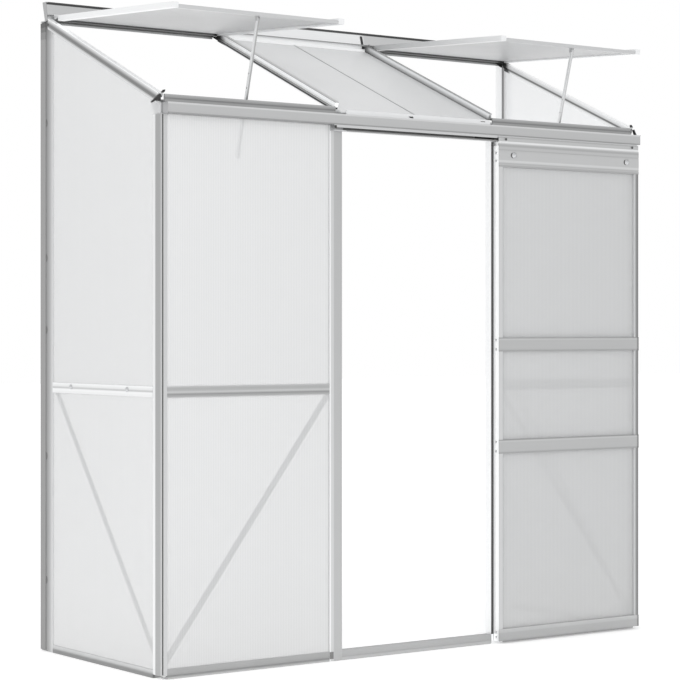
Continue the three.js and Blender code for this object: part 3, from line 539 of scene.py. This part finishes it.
def add_round_bolt(shape, place, axis, share=1.0):
    """A domed bolt head on a washer, standing on a face at a place."""
    radius = bpy.context.scene.greenhouse_fittings.bolt_radius * share
    profile = [(0, 0), (radius * 1.35, 0), (radius * 1.35, radius * 0.2), (radius, radius * 0.24),
               (radius * 0.93, radius * 0.5), (radius * 0.7, radius * 0.72),
               (radius * 0.36, radius * 0.84), (0, radius * 0.88)]
    add_turned(shape, profile, place, axis)


def add_nut(shape, place, axis, share=1.0):
    """A hexagon nut with the end of its bolt."""
    radius = bpy.context.scene.greenhouse_fittings.nut_radius * share
    height = radius * 0.85
    turn = Matrix.Translation(Vector(place) + Vector(axis).normalized() * (height / 2)) @ turned_to(axis)
    made = bmesh.ops.create_cone(shape, cap_ends=True, cap_tris=False, segments=6,
                                 radius1=radius, radius2=radius, depth=height, matrix=turn)
    rounded(shape, made["verts"], radius * 0.08)
    add_turned(shape, [(0, 0), (radius * 0.5, 0), (radius * 0.5, height * 1.35),
                       (radius * 0.42, height * 1.45), (0, height * 1.45)], place, axis, 14)


def new_piece(name, shape, material, body, smooth=False):
    """Makes an object of a finished shape, and puts it on its body."""
    bmesh.ops.remove_doubles(shape, verts=shape.verts, dist=EQUAL_POINTS)
    bmesh.ops.recalc_face_normals(shape, faces=shape.faces)
    mesh = bpy.data.meshes.new(name)
    shape.to_mesh(mesh)
    shape.free()
    mesh.materials.append(material)
    if smooth:
        mesh.shade_smooth()
    piece = bpy.data.objects.new(name, mesh)
    bpy.context.scene.collection.objects.link(piece)
    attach(piece, body)


def block_piece(name, blocks, material, body="frame", edge=None):
    """Makes a piece of blocks, each between two corners in millimetres."""
    shape = bmesh.new()
    for low, high in blocks:
        add_block(shape, spot(*low), spot(*high), edge)
    new_piece(name, shape, material, body)


def finish_node(name, material):
    """Gives a CAD node its material."""
    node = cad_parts[name]
    node.data.materials.clear()
    node.data.materials.append(material)


# Painted light and shade of the profiles. Each ramp has an axis, and places along it in millimetres with
# their tones.
# The first ramp of a profile goes across its section and paints its lit faces, highlights and shaded
# grooves, and the others darken its ends, an edge, or the ridge beside the vents.


MID_RAIL_BANDS = (
    (0, 0.70), (4, 0.76), (7, 0.92), (36, 0.93), (39.5, 1.05), (42, 0.9), (43.2, 0.64), (45, 0.66))
DOOR_END_BANDS = ("x", ((DOOR_LEFT, 1), (1876, 1), (1880, 0.62), (1882, 0.5), (DOOR_RIGHT, 0.45)))
HINGE_RAIL_BANDS = ("z", ((2000, 0.22), (2010.5, 0.22), (2012, 1.5), (2030, 1.7)))


def mid_rail_bands(foot):
    """Painted light and shade of a mid rail of the door, from the height of its foot."""
    return ("z", tuple((foot + rise, tone) for rise, tone in MID_RAIL_BANDS)), DOOR_END_BANDS


PAINTED_SHADING = {
    "left gable bar": (
        ("roof", ((-36, 1.2), (-33.9, 1.15), (-30.8, 0.92), (-27.7, 0.60), (-24.6, 0.42), (-21.5, 0.37),
                  (-18.4, 0.48), (-15.3, 0.68), (-12.2, 0.95), (-9, 1.15), (-6.3, 1.5), (-5.7, 1.8),
                  (-5.5, 1.8))),),
    "right gable bar": (
        ("roof", ((-36, 1.75), (-33, 1.7), (-30, 1.5), (-27.5, 0.8), (-25.5, 0.38), (-22.5, 0.38),
                  (-21, 0.62), (-19.3, 1.2), (-16.5, 1.33), (-14, 1.51), (-11, 1.64), (-8.7, 1.8),
                  (-5.5, 1.8))),
        ("y", ((640, 1), (662, 0.9), (676, 0.1), (697, 0.06)))),
    "left middle bar": (
        ("roof", ((-26, 1.2), (-17, 1.2), (-16.2, 0.07), (-11.7, 0.07), (-11.2, 0.5), (-10.9, 1.7),
                  (-10, 1.8), (-5, 1.8), (0, 1.8), (2.5, 1.5), (4, 0.9), (6, 0.75), (6.5, 0.75))),
        ("y", ((640, 1), (660, 0.5), (676, 0.06), (697, 0.05)))),
    "right middle bar": (
        ("roof", ((-26, 1.2), (-20, 1.2), (-16, 0.38), (-14, 0.38), (-11, 0.7), (-7, 1.0), (-3, 1.35),
                  (0, 1.6), (4, 1.6), (5.5, 0.9), (6.5, 0.9))),
        ("y", ((590, 1), (660, 0.7), (690, 0.3), (697, 0.3)))),
    "vent sill": (
        ("z", ((1690, 0.75), (1700.5, 0.74), (1702, 0.55), (1705.5, 0.57), (1707.5, 0.70), (1712, 0.80),
               (1716.3, 0.95))),),
    "left hinge rail": (HINGE_RAIL_BANDS, ("x", ((17, 1), (600, 1), (608, 0.06), (638, 0.06)))),
    "right hinge rail": (
        HINGE_RAIL_BANDS,
        ("x", ((1268, 0.5), (1300, 1), (1836, 1), (1848, 0.1), (1889, 0.1)))),
    "eave": (
        ("z", ((1657, 0.66), (1659.5, 0.68), (1661.5, 0.97), (1684, 1.0), (1686, 1.22), (1690, 1.25))),),
    "front waist": (
        ("z", ((825, 1.0), (828, 0.77), (831.5, 0.72), (834, 0.56), (837, 0.8), (839.5, 1.05),
               (842, 1.05), (845, 0.86), (851, 0.8), (857, 0.95))),),
    "gable waist": (
        ("z", ((825, 1.6), (838, 1.75), (840.5, 1.2), (843.5, 1.15), (846, 1.5), (857, 1.8))),),
    "lower mid rail": mid_rail_bands(620),
    "upper mid rail": mid_rail_bands(953),
    "door foot rail": (
        ("z", ((10, 0.78), (14, 0.85), (17, 0.86), (34, 0.86), (38, 0.98), (43, 1.0), (48, 1.05))),
        DOOR_END_BANDS),
    "door top rail": (
        ("z", ((1555, 0.82), (1560, 0.82), (1562, 1.02), (1567, 0.95), (1570, 1.2), (1575, 1.25),
               (1578, 1.05), (1602, 1.05), (1609, 1.0), (1610.5, 0.86), (1612.5, 1.0), (1619, 1.0),
               (1623, 0.8), (1626, 0.84), (1629, 0.98), (1633, 1.5), (1637.5, 1.6), (1639, 1.0),
               (1647, 1.03), (1650, 0.85), (1652, 0.8))),),
    "front base rail": (
        ("z", ((0, 1.0), (3, 0.95), (5.5, 0.8), (7, 0.58), (10.5, 0.56), (13.5, 0.72), (19, 0.76),
               (34, 0.78))),),
    "gable base rail": (
        ("z", ((0, 0.55), (8.5, 0.5), (10.5, 0.6), (13.5, 0.9), (17, 1.1), (24, 1.2), (26, 1.3))),),
    "door sill": (("z", ((0, 0.95), (5, 1.0), (8, 0.95), (10, 0.84), (32, 0.88))),),
    "left wall post": (
        ("y", ((664, 1.45), (668, 1.3), (672, 1.1), (680, 0.95), (690, 0.78), (698, 0.68), (703, 0.57),
               (706, 0.75), (743, 0.78))),
        ("z", ((1940, 1), (1975, 0.8), (1995, 0.5)))),
    "right wall post": (
        ("y", ((664, 1.6), (694, 1.5), (695.5, 0.8), (706, 0.75), (708, 1.0), (710, 1.7),
               (743, 1.8))),),
    "corner post": (
        ("y", ((0, 1.12), (3, 1.05), (5, 0.8), (33, 0.8), (34, 1.2), (35, 1.6), (49, 1.6))),),
    "left jamb": (
        ("x", ((605, 1.8), (609, 1.55), (610.5, 1.2), (620, 1.16), (622, 0.95), (650, 0.93),
               (652, 0.98))),),
    "left stile": (
        ("x", ((1263, 1.8), (1263.6, 1.8), (1264.6, 0.94), (1268, 1.09), (1278, 1.09), (1281, 0.94))),
        ("y", ((-26, 0.72), (-18, 0.85), (-8, 1), (-3, 1)))),
    "right stile": (
        ("x", ((1868, 1.25), (1871, 1.0), (1873, 0.72), (1875.5, 0.55), (1880, 0.42),
               (1886, 0.42))),),
    "ridge": (
        ("z", ((2005.9, 1.4), (2011, 1.65), (2021.5, 1.65), (2022.8, 0.5), (2026, 0.5), (2027.3, 1.57),
               (2060, 1.57), (2061.5, 0.2), (2067, 0.2), (2067.6, 1.8), (2069.1, 1.8))),
        ("x", ((0, 0.66), (632, 0.66), (642, 1), (1246, 1), (1256, 0.7), (1906, 0.7)))),
    "inner stile": (("y", ((-32, 1.71), (200, 1.49), (500, 1.2), (694, 0.99))),),
    "left stay": (("x", ((328, 1.8), (328.8, 1.0), (331, 0.75), (335, 0.7))),),
    "right stay": (("x", ((1592, 1.6), (1594, 1.1), (1599, 1.0))),),
}

# Profiles that have one finish on both sides: the name without its side, the run and the tones
PAIRED_PROFILES = (
    ("corner_post", "z", "corner post"),
    ("base_rail_front", "x", "front base rail"),
    ("base_rail_gable", "y", "gable base rail"),
    ("waist_rail_front", "x", "front waist"),
    ("waist_rail_gable", "y", "gable waist"),
    ("vent_sill", "x", "vent sill"),
)
SINGLE_PROFILES = (
    ("jamb_left", "z", "left jamb"),
    ("wall_post_left", "z", "left wall post"),
    ("eave_rail", "x", "eave"),
    ("door_sill", "x", "door sill"),
    ("door_top_rail", "x", "door top rail"),
    ("door_mid_rail_lower", "x", "lower mid rail"),
    ("door_mid_rail_upper", "x", "upper mid rail"),
    ("door_bottom_rail", "x", "door foot rail"),
)
# Painted light: the glow of these profiles brightens their faces turned to the left, though they are no
# lamps.
GABLE_BAR_GLOW = {"left": 0.25, "right": 0.08}
MIDDLE_BAR_GLOW = {"left": 0.35, "right": 0.15}
STILE_GLOW = {"left": 0.5, "right": 0.12}
JAMB_GLOW = 0.06


# Steps


class GREENHOUSE_OT_profiles(bpy.types.Operator):
    """Give every aluminium profile its finish, with its painted light and shade"""

    bl_idname = "greenhouse.profiles"
    bl_label = "Finish Profiles"

    def execute(self, context):
        # Painted light and shade: the ramps, the tones and the glow below make each profile lighter or
        # darker by how light falls on it; the brightest tone is painted full light.
        for name, run, bands in SINGLE_PROFILES:
            finish_node(name, aluminium(run, bands=bands))
        finish_node("jamb_right", aluminium("z", BRIGHTEST, glow=JAMB_GLOW))
        finish_node("wall_post_right", aluminium("z", bands="right wall post", glow=0.06))
        finish_node("ridge_rail", aluminium("x", bands="ridge", glow=0.1))
        finish_node("door_track", aluminium("x", 1.15))
        for side in SIDES:
            for name, run, bands in PAIRED_PROFILES:
                finish_node(name + "_" + side, aluminium(run, bands=bands))
            finish_node("brace_front_" + side, aluminium("x", 0.6))
            finish_node("brace_gable_" + side, aluminium("y", 0.6))
            gable_bar = aluminium("y", bands=side + " gable bar", glow=GABLE_BAR_GLOW[side])
            finish_node("roof_bar_gable_" + side, gable_bar)
            middle_bar = aluminium("y", bands=side + " middle bar", glow=MIDDLE_BAR_GLOW[side])
            finish_node("roof_bar_middle_" + side, middle_bar)
            stile = aluminium("z", bands=side + " stile", glow=STILE_GLOW[side])
            finish_node("door_stile_" + side, stile)
            vent = "vent_" + side
            finish_node(vent + "_hinge_rail", aluminium("x", bands=side + " hinge rail"))
            finish_node(vent + "_front_rail", aluminium("x", 1.15))
            finish_node(vent + "_stay", aluminium("z", bands=side + " stay"))
            for end in SIDES:
                bands = "inner stile" if (side, end) == ("right", "left") else None
                finish_node("%s_stile_%s" % (vent, end), aluminium("y", BRIGHTEST, bands=bands))
        return {"FINISHED"}


class GREENHOUSE_OT_sheets(bpy.types.Operator):
    """Give every glazing sheet its ribs and colour, and its glow of painted light"""

    bl_idname = "greenhouse.sheets"
    bl_label = "Finish Sheets"

    def execute(self, context):
        settings = context.scene.greenhouse_finish
        opacity = settings.sheet_opacity
        wall_colour = settings.wall_sheet
        door_colour = tinted(wall_colour, 0.9)
        # Painted shade: the vent sheet is made darker, as its underside faces down.
        shaded_vent_colour = tinted(settings.roof_sheet, 0.92)
        # Painted light: each sheet glows, the right gable's most, as it is seen from inside.
        wall = twin_wall("front sheet", wall_colour, "X", opacity, glow=0.08)
        gable = {"left": twin_wall("left gable sheet", wall_colour, "Y", opacity, glow=0.14),
                 "right": twin_wall("right gable sheet", wall_colour, "Y", opacity, glow=0.58)}
        door = twin_wall("door sheet", door_colour, "X", opacity - 0.06, glow=0.18)
        roof = twin_wall("roof sheet", settings.roof_sheet, "X", opacity + 0.12, glow=0.36)
        vent = twin_wall("vent sheet", shaded_vent_colour, "X", 0.86)
        for side in SIDES:
            for level in ("lower", "upper"):
                finish_node("front_sheet_%s_%s" % (level, side), wall)
                finish_node("gable_sheet_%s_%s" % (level, side), gable[side])
            finish_node("vent_%s_sheet" % side, vent)
        for bay in ("bottom", "middle", "top"):
            finish_node("door_sheet_" + bay, door)
        finish_node("roof_sheet_middle", roof)
        for end in SIDES:
            finish_node("door_roller_" + end, black_plastic("nylon", 1.4, 0.35))
        return {"FINISHED"}


BAR_FOOT_PLUGS = {
    "left": (((-28, 1689.5), (-26, 1687), (-16, 1693.5), (2, 1693.5), (3.2, 1714), (-2, 1714)),
             ((6.5, 1719.5), (12, 1718), (17, 1722.5), (17.4, 1728), (13.5, 1727.5))),
    "right": (((-3, 1694), (3, 1693), (10, 1709), (7, 1712)),
              ((13, 1718.5), (20, 1718), (22.5, 1727.5), (20, 1727.5)),
              ((-21.5, 1691.5), (-15.6, 1691.5), (-15.6, 1693.2), (-21.5, 1693.2))),
}


class GREENHOUSE_OT_end_plugs(bpy.types.Operator):
    """Add the black plugs at the feet of the gable bars"""

    bl_idname = "greenhouse.end_plugs"
    bl_label = "Add End Plugs"

    def execute(self, context):
        for side in SIDES:
            shape = bmesh.new()
            for outline in BAR_FOOT_PLUGS[side]:
                add_plate(shape, [spot(across(side, x), 6, z) for x, z in outline],
                          Vector((0, 0.009, 0)), 0.0002)
            new_piece("bar_foot_plug_" + side, shape, black_plastic(), "frame")
        return {"FINISHED"}


class GREENHOUSE_OT_gussets(bpy.types.Operator):
    """Add the corner plates behind the eave ends of the gables"""

    bl_idname = "greenhouse.gussets"
    bl_label = "Add Corner Plates"

    def execute(self, context):
        outline = [(78, 1703), (44, 1643), (18, 1643), (18, 1690)]
        for side in SIDES:
            inward = 0.0016 if side == "left" else -0.0016
            shape = bmesh.new()
            add_plate(shape, [spot(across(side, 9), y, z) for y, z in outline],
                      Vector((inward, 0, 0)))
            new_piece("corner_plate_" + side, shape, aluminium("y"), "frame")
        return {"FINISHED"}


class GREENHOUSE_OT_clips(bpy.types.Operator):
    """Add the clips of the gable sheets and the bolts of the gable waist rails"""

    bl_idname = "greenhouse.clips"
    bl_label = "Add Glazing Clips"

    def execute(self, context):
        for side in SIDES:
            outward = -1 if side == "left" else 1
            shape = bmesh.new()
            for height in (227, 622, 1023, 1252, 1682):
                x = across(side, 2)
                corners = [(706.5, height - 13), (706.5, height + 13), (701, height + 8),
                           (699, height), (701, height - 8)]
                add_plate(shape, [spot(x, y, z) for y, z in corners],
                          Vector((0.003 * outward, 0, 0)), 0.0005)
            clip = black_plastic("dark clip", 6.0, 0.4)
            new_piece("sheet_clips_" + side, shape, clip, "frame")
            bolts = bmesh.new()
            for place in (198, 545):
                add_round_bolt(bolts, spot(across(side, 0), place, 845), (outward, 0, 0))
            new_piece("waist_bolts_" + side, bolts, zinc(), "frame", True)
        return {"FINISHED"}


HINGE_BAYS = ((18, 621), (1285, 1888))
# Painted shade: outlines of dark plates in the corners where the vents' hinge rails meet the ridge, as x
# and height
HINGE_CORNERS = (
    ((1847, 2011.5), (1888, 2008), (1888, 1991), (1878, 1993)),
    ((612, 2013.5), (622.5, 2013.5), (622.5, 2003), (619, 2004)),
)
# Behind a wall post stands dark foam, whose dark partly paints the shade in the post's recess, and it
# grows darker towards its top: its part, foot, head and tone
WALL_FOAM_SHADE = (("strip", 3, 1950, 14.0), ("upper", 1950.1, 1973, 11.0),
             ("end", 1973.1, 1988, 8.0), ("tip", 1988.1, 2003, 5.0))


class GREENHOUSE_OT_seals(bpy.types.Operator):
    """Add the seals, the strips of the ridge, the wall posts' foam, and dark strips, blocks and plates
    of painted shade
    """

    bl_idname = "greenhouse.seals"
    bl_label = "Add Seals"

    def execute(self, context):
        # A black brush seal on the jamb's front; its dark also paints the shade in the gap between the
        # jamb and the door.
        block_piece("brush_seal_and_gap_shade", [((1252.6, -1.4, 31), (1262, -0.1, 1636))],
                    black_plastic("brush", 2.5, 0.7))
        # Painted shade: dark strips in the open front of the door track, where its inside lies in
        # shadow.
        block_piece("track_shade_strips", [((655, -3.4, 1639.4), (1884, -1.95, 1650)),
                                    ((655, -22.6, 1637.4), (1262, -22.05, 1641.5))],
                    black_plastic("track liner", 9.0, 0.6))
        block_piece("sheet_closing_strip", [((663, -7.5, 1690.4), (1243, -5.5, 1706))],
                    aluminium("x", 1.6))
        block_piece("ridge_top_seal", [((6, 704, 2064.6), (1900, 705.7, 2069))],
                    black_plastic("dark seal", 2.5, 0.4))
        # Painted shade: dark strips on the ridge's face under the vents' hinge rails, where the gap lies
        # in shadow.
        hinge_shade_strips = [((x0, 697.05, 2003), (x1, 697.6, 2010)) for x0, x1 in HINGE_BAYS]
        block_piece("hinge_shade_strips", hinge_shade_strips,
                    black_plastic("hinge seal", 7.0, 0.6), edge=0)
        drip_strips = [((x0, 698.2, 1997), (x1, 700, 2003.5)) for x0, x1 in HINGE_BAYS]
        block_piece("ridge_drip_strips", drip_strips, aluminium("x", 1.2))
        # Painted shade: a dark block at the back of the track beside the door, and dark plates in the
        # vents' hinge corners.
        shape = bmesh.new()
        add_block(shape, spot(1180, -3.8, 1641), spot(1262, -3.45, 1650))
        for outline in HINGE_CORNERS:
            add_plate(shape, [spot(x, 696.1, z) for x, z in outline], Vector((0, 0.0008, 0)), 0)
        new_piece("corner_shade_patches", shape, black_plastic(), "frame")
        for side in SIDES:
            low, high = sorted((across(side, 17.2), across(side, 19.7)))
            block_piece("sill_end_plate_" + side, [((low, 14, 1692), (high, 16, 1716))],
                        aluminium("z", 0.8))
            # A dark gasket strip in the post's groove; its dark also paints the shade in the groove.
            low, high = sorted((across(side, 2.6), across(side, 7.2)))
            block_piece("post_groove_shade_strip_" + side, [((low, -0.15, 14), (high, -0.02, 1655))],
                        black_plastic("gasket", 3.5, 0.6), edge=0)
            low, high = sorted((across(side, -1.5), across(side, 3.6)))
            for part, z0, z1, tone in WALL_FOAM_SHADE:
                block_piece("wall_foam_shade_%s_%s" % (part, side), [((low, 708.5, z0), (high, 741.5, z1))],
                            black_plastic("foam " + part, tone, 0.8), edge=0)
            # Painted shade: a dark block in the gap between the jamb and the end of the front base rail.
            low, high = sorted((across(side, 605.5), across(side, 620)))
            block_piece("rail_end_shade_block_" + side, [((low, -0.4, 7), (high, -0.05, 29))],
                        black_plastic("grey gasket", 9.0, 0.6))
        return {"FINISHED"}


class GREENHOUSE_OT_door_fittings(bpy.types.Operator):
    """Add the bolts, the end plates and the screw plugs of the door; the end plates are painted light,
    and black discs beside two bolts are their painted shadows
    """

    bl_idname = "greenhouse.door_fittings"
    bl_label = "Add Door Fittings"

    def execute(self, context):
        shape = bmesh.new()
        for x in (1327, 1830):
            add_round_bolt(shape, spot(x, -28.6, 1594), (0, -1, 0), 1.25)
        for height in (1574, 1599.5, 960, 990, 627, 658, 22, 38):
            add_round_bolt(shape, spot(DOOR_LEFT, -14, height), (-1, 0, 0), 0.55)
            add_round_bolt(shape, spot(DOOR_RIGHT, -14, height), (1, 0, 0), 0.55)
        new_piece("door_bolts", shape, zinc(), "door", True)
        # Painted light: the end plates on the door's top ends are given the brightest tone and a glow.
        plates = [((x0, -24.2, 1623), (x0 + 1.2, -3.4, 1636.4)) for x0 in (1263.2, 1884.6)]
        plate_painted_light = aluminium("z", BRIGHTEST, glow=JAMB_GLOW)
        block_piece("door_end_plates", plates, plate_painted_light, body="door")
        shape = bmesh.new()
        for x in (1293, 1856):
            add_round_bolt(shape, spot(x, -28, 1645.1), (0, -1, 0), 0.55)
        # Painted shadow: thin black discs set beside the two top rail bolts, as their shadows.
        bolt_shadow = [(0, 0), (0.0088, 0), (0.0088, 0.0006), (0, 0.0006)]
        for x in (1322, 1825):
            add_turned(shape, bolt_shadow, spot(x, -28, 1593.5), (0, -1, 0))
        new_piece("roller_screw_plugs_and_bolt_shadows", shape, black_plastic("gasket", 3.5, 0.6), "door", True)
        return {"FINISHED"}


SEAM_OFFSET = -15.8
# Dark marks at joints: at the top of the right middle bar on the ridge, and at the foot of the middle
# sheet
RIDGE_MARK = ((1241, 697.3, 2028), (1250, 697.3, 2028), (1248, 703.2, 2057), (1239, 703.2, 2057))
SHEET_FOOT_MARK = ((907, -7.6, 1699), (913, -7.6, 1694.5), (926, -7.6, 1694), (924, -7.6, 1699))


class GREENHOUSE_OT_roof_fittings(bpy.types.Operator):
    """Add the seam of the middle sheet and the dark marks at the joints"""

    bl_idname = "greenhouse.roof_fittings"
    bl_label = "Add Roof Fittings"

    def execute(self, context):
        shape = bmesh.new()
        low, high = HOUSE_WIDTH / 2 - 2, HOUSE_WIDTH / 2 + 2
        outline = [roof_spot(x, y, SEAM_OFFSET)
                   for x, y in ((low, 0), (high, 0), (high, 690), (low, 690))]
        lift = Vector((0, -math.sin(ROOF_PITCH), math.cos(ROOF_PITCH))) * 0.0012
        add_plate(shape, outline, lift)
        new_piece("sheet_seam_strip", shape, aluminium("y", 0.8), "frame")
        shape = bmesh.new()
        for outline in (RIDGE_MARK, SHEET_FOOT_MARK):
            add_plate(shape, [spot(*corner) for corner in outline], Vector((0, -0.0012, 0)))
        add_block(shape, spot(1243, 694.6, 2012), spot(1254, 696.7, 2021))
        add_block(shape, spot(1202, -8.2, 1698.6), spot(1221, -7.6, 1700.4))
        add_block(shape, spot(607.5, -22.9, 1645), spot(616, -22.1, 1654))
        new_piece("joint_dark_marks", shape, black_plastic(), "frame")
        return {"FINISHED"}


class GREENHOUSE_OT_frame_bolts(bpy.types.Operator):
    """Add the nuts of the braces and of the corner plates inside the frame"""

    bl_idname = "greenhouse.frame_bolts"
    bl_label = "Add Frame Bolts"

    def execute(self, context):
        for side in SIDES:
            inward = 1 if side == "left" else -1
            shape = bmesh.new()
            for x, z in ((24, 54), (598, 816)):
                add_nut(shape, spot(across(side, x), 10.9, z), (0, 1, 0))
            for y, z in ((33, 44), (642, 821)):
                add_nut(shape, spot(across(side, 10.9), y, z), (inward, 0, 0))
            for y, z in ((33, 1665), (55, 1690)):
                add_nut(shape, spot(across(side, 10.6), y, z), (inward, 0, 0))
            new_piece("brace_nuts_" + side, shape, zinc(), "frame")
        return {"FINISHED"}


class GREENHOUSE_OT_end_caps(bpy.types.Operator):
    """Add the caps that close the eave rail, the ridge rail and the stiles of the vents"""

    bl_idname = "greenhouse.end_caps"
    bl_label = "Add End Caps"

    def execute(self, context):
        eave = [(-23, 1657), (32, 1657), (32, 1690), (-23, 1690)]
        ridge = [(705, 2006), (712, 2006), (729, 2069), (706, 2069), (697, 2025), (697, 2010)]
        for side in SIDES:
            outward = -1 if side == "left" else 1
            shape = bmesh.new()
            add_plate(shape, [spot(across(side, 8.9), y, z) for y, z in eave],
                      Vector((0.0012 * outward, 0, 0)))
            new_piece("eave_cap_" + side, shape, aluminium("z", 0.9), "frame")
            shape = bmesh.new()
            add_plate(shape, [spot(across(side, -0.1), y, z) for y, z in ridge],
                      Vector((0.0016 * outward, 0, 0)))
            new_piece("ridge_cap_" + side, shape, aluminium("z", 0.9), "frame")
            shape = bmesh.new()
            for x0, x1 in ((17.5, 39.5), (615.5, 637.5)):
                low, high = sorted((across(side, x0), across(side, x1)))
                corners = [spot(low, -31.9, 1981.9), spot(high, -31.9, 1981.9),
                           spot(high, -30.9, 1965), spot(low, -30.9, 1965)]
                add_plate(shape, corners, Vector((0, -0.001, -0.00006)))
            # Painted light: the stile caps are made bright and glowing.
            cap_painted_light = aluminium("x", 1.4, glow=0.2)
            new_piece("stile_caps_" + side, shape, cap_painted_light, "vent_" + side)
        return {"FINISHED"}


class GREENHOUSE_OT_stage(bpy.types.Operator):
    """Set up the floor, the light and the camera"""

    bl_idname = "greenhouse.stage"
    bl_label = "Set Up Stage"

    def execute(self, context):
        settings = context.scene.greenhouse_stage
        shape = bmesh.new()
        bmesh.ops.create_grid(shape, x_segments=1, y_segments=1, size=30)
        mesh = bpy.data.meshes.new("floor")
        shape.to_mesh(mesh)
        shape.free()
        floor = bpy.data.objects.new("floor", mesh)
        context.scene.collection.objects.link(floor)
        floor.location.z = -0.0005
        material, tree, shader = new_material("pale floor")
        drift = noise_node(tree, place_node(tree), scale=0.7, detail=2.0)
        drifted = mix_colours(tree, drift, tinted(settings.floor, 0.99), settings.floor)
        tree.links.new(drifted, shader.inputs["Base Color"])
        shader.inputs["Roughness"].default_value = 0.9
        shader.inputs["Emission Color"].default_value = WHITE
        shader.inputs["Emission Strength"].default_value = 0.3
        mesh.materials.append(material)

        world = bpy.data.worlds.new("studio")
        context.scene.world = world
        world.use_nodes = True
        tree = world.node_tree
        tree.nodes.clear()
        output = tree.nodes.new("ShaderNodeOutputWorld")
        seen = tree.nodes.new("ShaderNodeBackground")
        seen.inputs["Color"].default_value = WHITE
        light = tree.nodes.new("ShaderNodeBackground")
        light.inputs["Color"].default_value = WHITE
        light.inputs["Strength"].default_value = settings.sky
        path = tree.nodes.new("ShaderNodeLightPath")
        mix = tree.nodes.new("ShaderNodeMixShader")
        tree.links.new(path.outputs["Is Camera Ray"], mix.inputs["Fac"])
        tree.links.new(light.outputs["Background"], mix.inputs[1])
        tree.links.new(seen.outputs["Background"], mix.inputs[2])
        tree.links.new(mix.outputs["Shader"], output.inputs["Surface"])

        lamp = bpy.data.lights.new("softbox", "AREA")
        lamp.energy = settings.key_watts
        lamp.size = 3.5
        holder = bpy.data.objects.new("softbox", lamp)
        holder.visible_glossy = False
        holder.location = (-3.0, -3.4, 2.4)
        aim = Vector((0, 0, 1.0)) - holder.location
        holder.rotation_euler = aim.to_track_quat("-Z", "Y").to_euler()
        context.scene.collection.objects.link(holder)

        view = bpy.data.cameras.new("view")
        view.sensor_width = 36
        view.lens = CAMERA_LENS
        view.shift_y = CAMERA_SHIFT
        view.clip_end = 100
        camera = bpy.data.objects.new("view", view)
        camera.location = spot(*CAMERA_PLACE)
        camera.rotation_euler = (math.radians(90), 0, math.radians(CAMERA_TURN))
        context.scene.collection.objects.link(camera)
        context.scene.camera = camera
        context.scene.view_settings.view_transform = "Standard"
        return {"FINISHED"}


class GREENHOUSE_PT_panel(bpy.types.Panel):
    """Settings and steps of the greenhouse"""

    bl_idname = "GREENHOUSE_PT_panel"
    bl_label = "Lean-to Greenhouse"
    bl_space_type = "VIEW_3D"
    bl_region_type = "UI"
    bl_category = "Greenhouse"

    def draw(self, context):
        layout = self.layout
        for group in ("greenhouse_finish", "greenhouse_fittings", "greenhouse_stage"):
            settings = getattr(context.scene, group)
            column = layout.column(align=True)
            for name in settings.__annotations__:
                column.prop(settings, name)
        for step in STEPS:
            layout.operator(step.bl_idname)


STEPS = (
    GREENHOUSE_OT_profiles,
    GREENHOUSE_OT_sheets,
    GREENHOUSE_OT_end_plugs,
    GREENHOUSE_OT_gussets,
    GREENHOUSE_OT_clips,
    GREENHOUSE_OT_seals,
    GREENHOUSE_OT_door_fittings,
    GREENHOUSE_OT_roof_fittings,
    GREENHOUSE_OT_frame_bolts,
    GREENHOUSE_OT_end_caps,
    GREENHOUSE_OT_stage,
)
SETTINGS = (FinishSettings, FittingSettings, StageSettings)


def register():
    """Registers the classes and the settings."""
    for item in SETTINGS + STEPS + (GREENHOUSE_PT_panel,):
        bpy.utils.register_class(item)
    bpy.types.Scene.greenhouse_finish = bpy.props.PointerProperty(type=FinishSettings)
    bpy.types.Scene.greenhouse_fittings = bpy.props.PointerProperty(type=FittingSettings)
    bpy.types.Scene.greenhouse_stage = bpy.props.PointerProperty(type=StageSettings)


def unregister():
    """Removes the settings and the classes."""
    del bpy.types.Scene.greenhouse_stage
    del bpy.types.Scene.greenhouse_fittings
    del bpy.types.Scene.greenhouse_finish
    for item in reversed(SETTINGS + STEPS + (GREENHOUSE_PT_panel,)):
        bpy.utils.unregister_class(item)


def main():
    """Builds the whole scene."""
    register()
    for step in STEPS:
        space, name = step.bl_idname.split(".")
        getattr(getattr(bpy.ops, space), name)()


if __name__ == "__main__":
    main()
